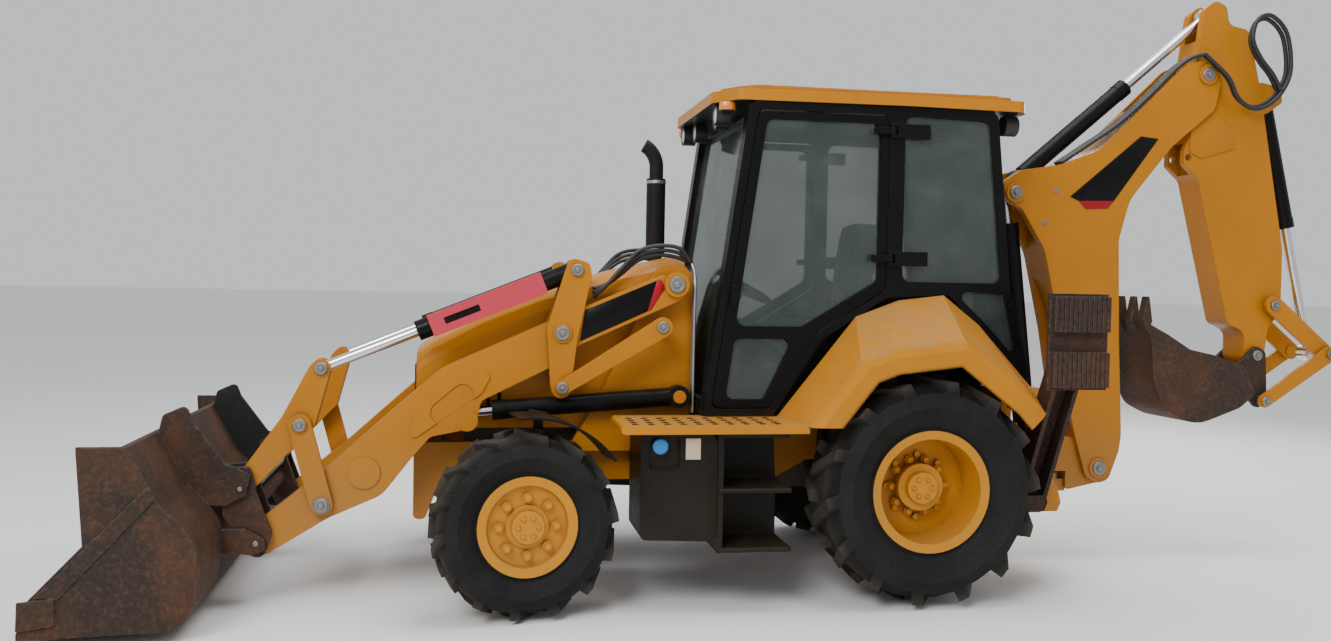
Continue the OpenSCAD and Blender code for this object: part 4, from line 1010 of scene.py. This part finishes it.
@dataclass
class Plumbing:
    """Hoses and steel pipes."""

    shop: Workshop

    def hose(self, name: str, points: Sequence[Point], radius: float, body: str,
             other: Optional[str] = None, span: Optional[tuple[Point, Point]] = None) -> None:
        """One hose.

        Args:
            name: the piece's name.
            points: its route in millimetres from the rear axle.
            radius: its radius in millimetres.
            body: the body it rides on, when it crosses no joint.
            other: the body it ends on, where it crosses a joint; the hose is then fixed in place on no body.
            span: where it would start and stop bending; these places are computed, but the hose does not bend.
        """
        item, route = self.shop.pipe(name, Finish.HOSE, "trim_plastic", points, radius, 14)
        if other and span:
            tuple(spot(*span[0]))
            tuple(spot(*span[1]))
            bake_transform(item)
        else:
            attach(item, body)
        LOG.info("%s is %.2f m long", name, length_of(route))

    def build(self) -> None:
        """Makes all of them."""
        for word, side in SIDES:
            for i in range(3):
                rise, y = 26 * i, side * (424 + 13 * i)
                self.hose(f"arm_hose_{word}_{i + 1}", [
                    (1222, y, 1842), (1290, y, 1872 + rise), (1400, y, 1886 + rise),
                    (1520, y, 1856 + rise), (1620, y, 1776 + rise * 0.6), (1700, y, 1716),
                    (1780, side * (450 + 4 * i), 1690 - 24 * i)], 12, "chassis", "arms",
                    ((1330, y, 1860), (1620, y, 1760)))
            for i in range(3):
                y = side * (476 + 24 * i)
                pipe, _ = self.shop.pipe(f"riser_pipe_{word}_{i + 1}", Finish.PIPE, "rod_chrome", [
                    (1216, y, 1002), (1216, y, 1200), (1216, y, 1500), (1214, y, 1720),
                    (1212, side * (450 + 12 * i), 1800), (1222, side * (424 + 13 * i), 1846)], 9)
                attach(pipe, "chassis")
        for i in range(3):
            y = 52 + 34 * i
            self.hose(f"boom_hose_{i + 1}", [
                (-1215, y, 2536), (-1300, y, 2590), (-1392, y, 2652), (-1596, y, 2790), (-1800, y, 2968),
                (-2006, y, 3170), (-2100, y + 20, 3240), (-2170, 150 + 12 * i, 3262)], 13, "boom")
        for i in range(2):
            y, grow = 168 + 30 * i, 1 + 0.06 * i
            middle = (-2560, 3200)
            points = [(-2250, 3253), (-2330, 3120), (-2400, 3000), (-2500, 2940), (-2600, 2960), (-2700, 3050),
                      (-2752, 3190), (-2713, 3400), (-2600, 3500), (-2500, 3470), (-2468, 3350), (-2530, 3240),
                      (-2625, 3150), (-2690, 3060)]
            lift = [0, 0, 0, 0, 0, 0, 4, 10, 18, 26, 30, 24, 10, 0]
            route = [(middle[0] + (x - middle[0]) * grow, y + up, middle[1] + (z - middle[1]) * grow)
                     for (x, z), up in zip(points, lift)]
            self.hose(f"stick_hose_{i + 1}", [(-2170, 150 + 12 * i, 3262), *route[1:]], 14, "boom", "stick",
                      ((-2230, y, 3150), (-2600, y, 3150)))


@dataclass
class Fittings:
    """Pins, panels, covers, lamps and other small parts."""

    shop: Workshop

    def row(self, piece: Workpiece, count: int, step: Point, body: str) -> None:
        """A row of one piece on a body, with its step in metres."""
        item = piece.loose()
        self.shop.row.grow(item, {"Count": count, "Step": step})
        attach(item, body)

    def panels(self) -> None:
        """Plain panels on the loader arms and the boom."""
        black, red = (Finish.PANEL, "black_paint"), (Finish.STRIPE, "lock_red")
        panels = (
            ("arm_panel", black, "arms", 570, [(1835, 1572), (1440, 1741), (1490, 1570), (1862, 1400)]),
            ("arm_panel_tip", red, "arms", 570, [(1440, 1741), (1418, 1750), (1392, 1700), (1468, 1580),
                                                 (1490, 1570)]),
            ("boom_panel", black, "boom", 140, [(-1752, 2721), (-1876, 2710), (-1577, 2304), (-1333, 2297),
                                                (-1273, 2322)]),
            ("boom_panel_strip", red, "boom", 140, [(-1333, 2297), (-1577, 2304), (-1534, 2254), (-1383, 2246)]))
        for name, look, body, y, outline in panels:
            Workpiece(name, *look).prism(outline, y, y + PANEL_THICKNESS, 1).mirrored().on(body)

    def pin_heads(self) -> None:
        """Turned heads over the pins' ends."""
        heads = (("chassis", 1330, 1720, 605, 46), ("chassis", 1413, 1485, 647, 34),
                 ("rear_levers", 1960, 1445, 616, 40), ("rear_levers", 1885, 1790, 616, 34),
                 ("links", 1960, 1150, 643, 32), ("front_levers", 3225, 1246, 582, 34),
                 ("idlers", 3327, 950, 618, 34), ("arms", 3215, 527, 620, 38),
                 ("boom", -900, 2335, 152, 42), ("boom", -2215, 3137, 152, 44), ("boom", -1525, 595, 152, 44),
                 ("stick", -2735, 1655, 177, 32), ("guide_links", -3130, 1340, 217, 30),
                 ("power_links", -2665, 1030, 215, 32), ("hoe_bucket", -2640, 1325, 145, 34),
                 ("bucket", 3615, 625, 636, 34), ("bucket", 3536, 340, 636, 40))
        for i, (body, x, z, y, r) in enumerate(heads):
            piece = Workpiece(f"pin_head_{i + 1}", Finish.PIN, "pin_steel")
            piece.lathe([(r, -3), (r, 5), (r - 4, 9), (r * 0.62, 10), (r * 0.55, 8), (r * 0.4, 8),
                         (r * 0.36, 16), (r * 0.28, 18)], (x, y, z), (0, 1, 0))
            piece.mirrored().on(body)

    def deck(self) -> None:
        """Filler cap, grip patch, step lips and the platform's anti-slip buttons."""
        cap = Workpiece("filler_cap", Finish.CAP, "trim_plastic")
        cap.lathe([(40, 0), (42, 4), (42, 14), (36, 20), (14, 22)], (1476, 974, 880), (0, 1, 0))
        cap.mirrored().on("chassis")
        grip = Workpiece("grip_patch", Finish.GRIP, "trim_plastic")
        grip.prism([(1266, 813), (1345, 813), (1345, 923), (1266, 923)], 1000, 1002, 0).mirrored().on("chassis")
        for word, side in SIDES:
            for level, z in (("low", 341), ("high", 651)):
                lip, _ = self.shop.pipe(f"step_lip_{level}_{word}", Finish.TANK, "black_paint",
                                        [(x, side * 1040, z) for x in (786, 980, 1176)], 13)
                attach(lip, "chassis")
            for row, y in enumerate((770, 860, 950, 1022)):
                button = Workpiece(f"deck_buttons_{word}_{row + 1}", Finish.PANEL, "black_paint")
                button.lathe([(19, -2), (19, 1), (16, 2.5)], (860, side * y, 1000), (0, 0, 1), 16)
                self.row(button, 10, (84 * MM, 0.0, 0.0), "chassis")

    def edges(self) -> None:
        """Bolts of the cutting edge, clamps of the stack and plates on the stick."""
        bolts = Workpiece("edge_bolts", Finish.COUPLER, "worn_steel")
        bolts.lathe([(20, -3), (20, 8), (14, 13)], (4262, -1100, 96), (0, 0, 1), 12)
        self.row(bolts, 11, (0.0, 220 * MM, 0.0), "bucket")
        clamps = Workpiece("stack_clamps", Finish.PIPE, "stack_steel")
        for z in (1925, 2352):
            clamps.lathe([(59, 0), (63, 2), (63, 20), (59, 22)], (1305, -320, z), (0, 0, 1))
        clamps.on("chassis")
        plate = Workpiece("stick_plate", Finish.FRAME, "frame_paint")
        plate.prism([(-2130, 2852), (-2288, 2950), (-2425, 2795), (-2450, 2672), (-2201, 2600), (-2120, 2640)],
                    105, 112, 3).mirrored().on("stick")
        plugs = Workpiece("boom_plugs", Finish.PIN, "pin_steel")
        for x, z in ((-1176, 2355), (-1107, 2151)):
            plugs.lathe([(17, -2), (17, 3), (13, 5)], (x, 140, z), (0, 1, 0), 18)
        plugs.mirrored().on("boom")

    def lamps(self) -> None:
        """Lenses in the work lamps and the amber lamps."""
        lenses = Workpiece("lamp_lenses", Finish.CLEAR, "lamp_plastic")
        for x, y, way in ((1070, 470, 1), (1030, 300, 1), (-628, 560, -1)):
            lenses.lathe([(47, 30), (47, 34), (34, 39), (12, 41)], (x, y, 2678.4), (way, 0, 0))
        lenses.mirrored().on("chassis")
        amber = Workpiece("amber_lenses", Finish.AMBER, "lamp_plastic")
        amber.lathe([(44, 2), (46, 10), (46, 40), (42, 47)], (1065, 590, 2690), (0, 0, 1))
        amber.mirrored().on("chassis")

    def build(self) -> None:
        """Makes all of them."""
        self.panels()
        self.pin_heads()
        self.deck()
        self.edges()
        self.lamps()


@dataclass
class Studio:
    """Floor, light and camera."""

    place: Point = (1.8318, 6.6577, 1.7229)
    right: Point = (-0.98425, 0.17585, 0.01839)
    up: Point = (0.01234, -0.03542, 0.99930)
    forward: Point = (-0.17638, -0.98378, -0.03269)
    lens: float = 30.17
    sensor: float = 36.0

    def camera(self) -> None:
        """Sets the camera where the photograph was taken from."""
        data = bpy.data.cameras.new("photo_camera")
        data.lens, data.sensor_width, data.sensor_fit = self.lens, self.sensor, "HORIZONTAL"
        data.clip_end = 400.0
        item = add_object("photo_camera", data)
        turn = Matrix((self.right, self.up, tuple(-c for c in self.forward))).transposed().to_4x4()
        item.matrix_world = Matrix.Translation(Vector(self.place)) @ turn
        bpy.context.scene.camera = item

    def lamp(self, name: str, place: Point, aim: Point, size: float, power: float) -> None:
        """One soft box."""
        data = bpy.data.lights.new(name, "AREA")
        data.shape, data.size, data.energy = "DISK", size, power
        item = add_object(name, data)
        item.location = place
        item.rotation_euler = (Vector(aim) - Vector(place)).to_track_quat("-Z", "Y").to_euler()

    def build(self) -> None:
        """Makes the stage."""
        sheet = Sheet("studio_floor")
        tone = sheet.mix(sheet.noise(0.8, 3, 0.5), (0.80, 0.80, 0.79), (0.84, 0.84, 0.83))
        mesh = bpy.data.meshes.new("floor")
        corners = ((-1, -1), (1, -1), (1, 1), (-1, 1))
        mesh.from_pydata([(x * FLOOR_HALF, y * FLOOR_HALF, 0) for x, y in corners], [], [(0, 1, 2, 3)])
        floor = add_object("floor", mesh)
        dress(floor, sheet.finish(tone, 0.8))
        world = bpy.data.worlds.new("studio")
        bpy.context.scene.world = world
        world.use_nodes = True
        sky = world.node_tree.nodes["Background"]
        sky.inputs["Color"].default_value = (0.92, 0.94, 0.96, 1.0)
        sky.inputs["Strength"].default_value = 0.8
        self.lamp("key_light", (5.5, 7.5, 7.5), (0.3, 0, 1.2), 5.0, 750)
        self.lamp("top_light", (-1.0, 1.0, 9.0), (0, 0, 1), 6.0, 500)
        self.lamp("rear_light", (-6.5, -5.5, 6.0), (0, 0, 1.5), 5.0, 400)
        self.camera()


def paint_nodes() -> None:
    """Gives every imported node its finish."""
    for finish, names in NODE_FINISH.items():
        for name in names:
            dress(frame["nodes"][name], finish.material)
    for word, side in SIDES:
        for end, radius in TYRE_RADII.items():
            joint = JOINTS[f"{end}_wheel_{word}_spin"]
            rubber = TyreRubber(f"{end}_tyre_rubber_{word}", tuple(wheel_centre(end, side)),
                                tuple(joint["axis"]), radius)
            dress(frame["nodes"][f"{end}_tyre_{word}"], rubber.make())


def wheel_centre(end: str, side: int) -> Vector:
    """Middle of a wheel.

    Args:
        end: front or rear.
        side: 1 on the left and -1 on the right.

    Returns:
        The place in metres.
    """
    joint = JOINTS[f"{end}_wheel_{'left' if side > 0 else 'right'}_spin"]
    middle = Vector(joint["pos_m"])
    if end == "rear":
        return Vector((middle.x, side * REAR_WHEEL_Y, middle.z))
    return middle + Vector(joint["axis"]).normalized() * (side * FRONT_WHEEL_REACH)


def main() -> None:
    """Builds the sub-assemblies in order."""
    logging.basicConfig(level=logging.INFO, format="%(name)s: %(message)s")
    Studio().build()
    shop = Workshop()
    Plumbing(shop).build()
    paint_nodes()
    for word, side in SIDES:
        for end, facts in (("front", (8, 148.0, 104.0, 128.0, 52.0)),
                           ("rear", (10, 150.0, -28.0, 62.0, 52.0))):
            axis = Vector(JOINTS[f"{end}_wheel_{word}_spin"]["axis"]).normalized()
            WheelTrim(shop, f"{end}_wheel_{word}", wheel_centre(end, side), axis, side, *facts).build()
    Seat().build()
    Fittings(shop).build()


if __name__ == "__main__":
    main()
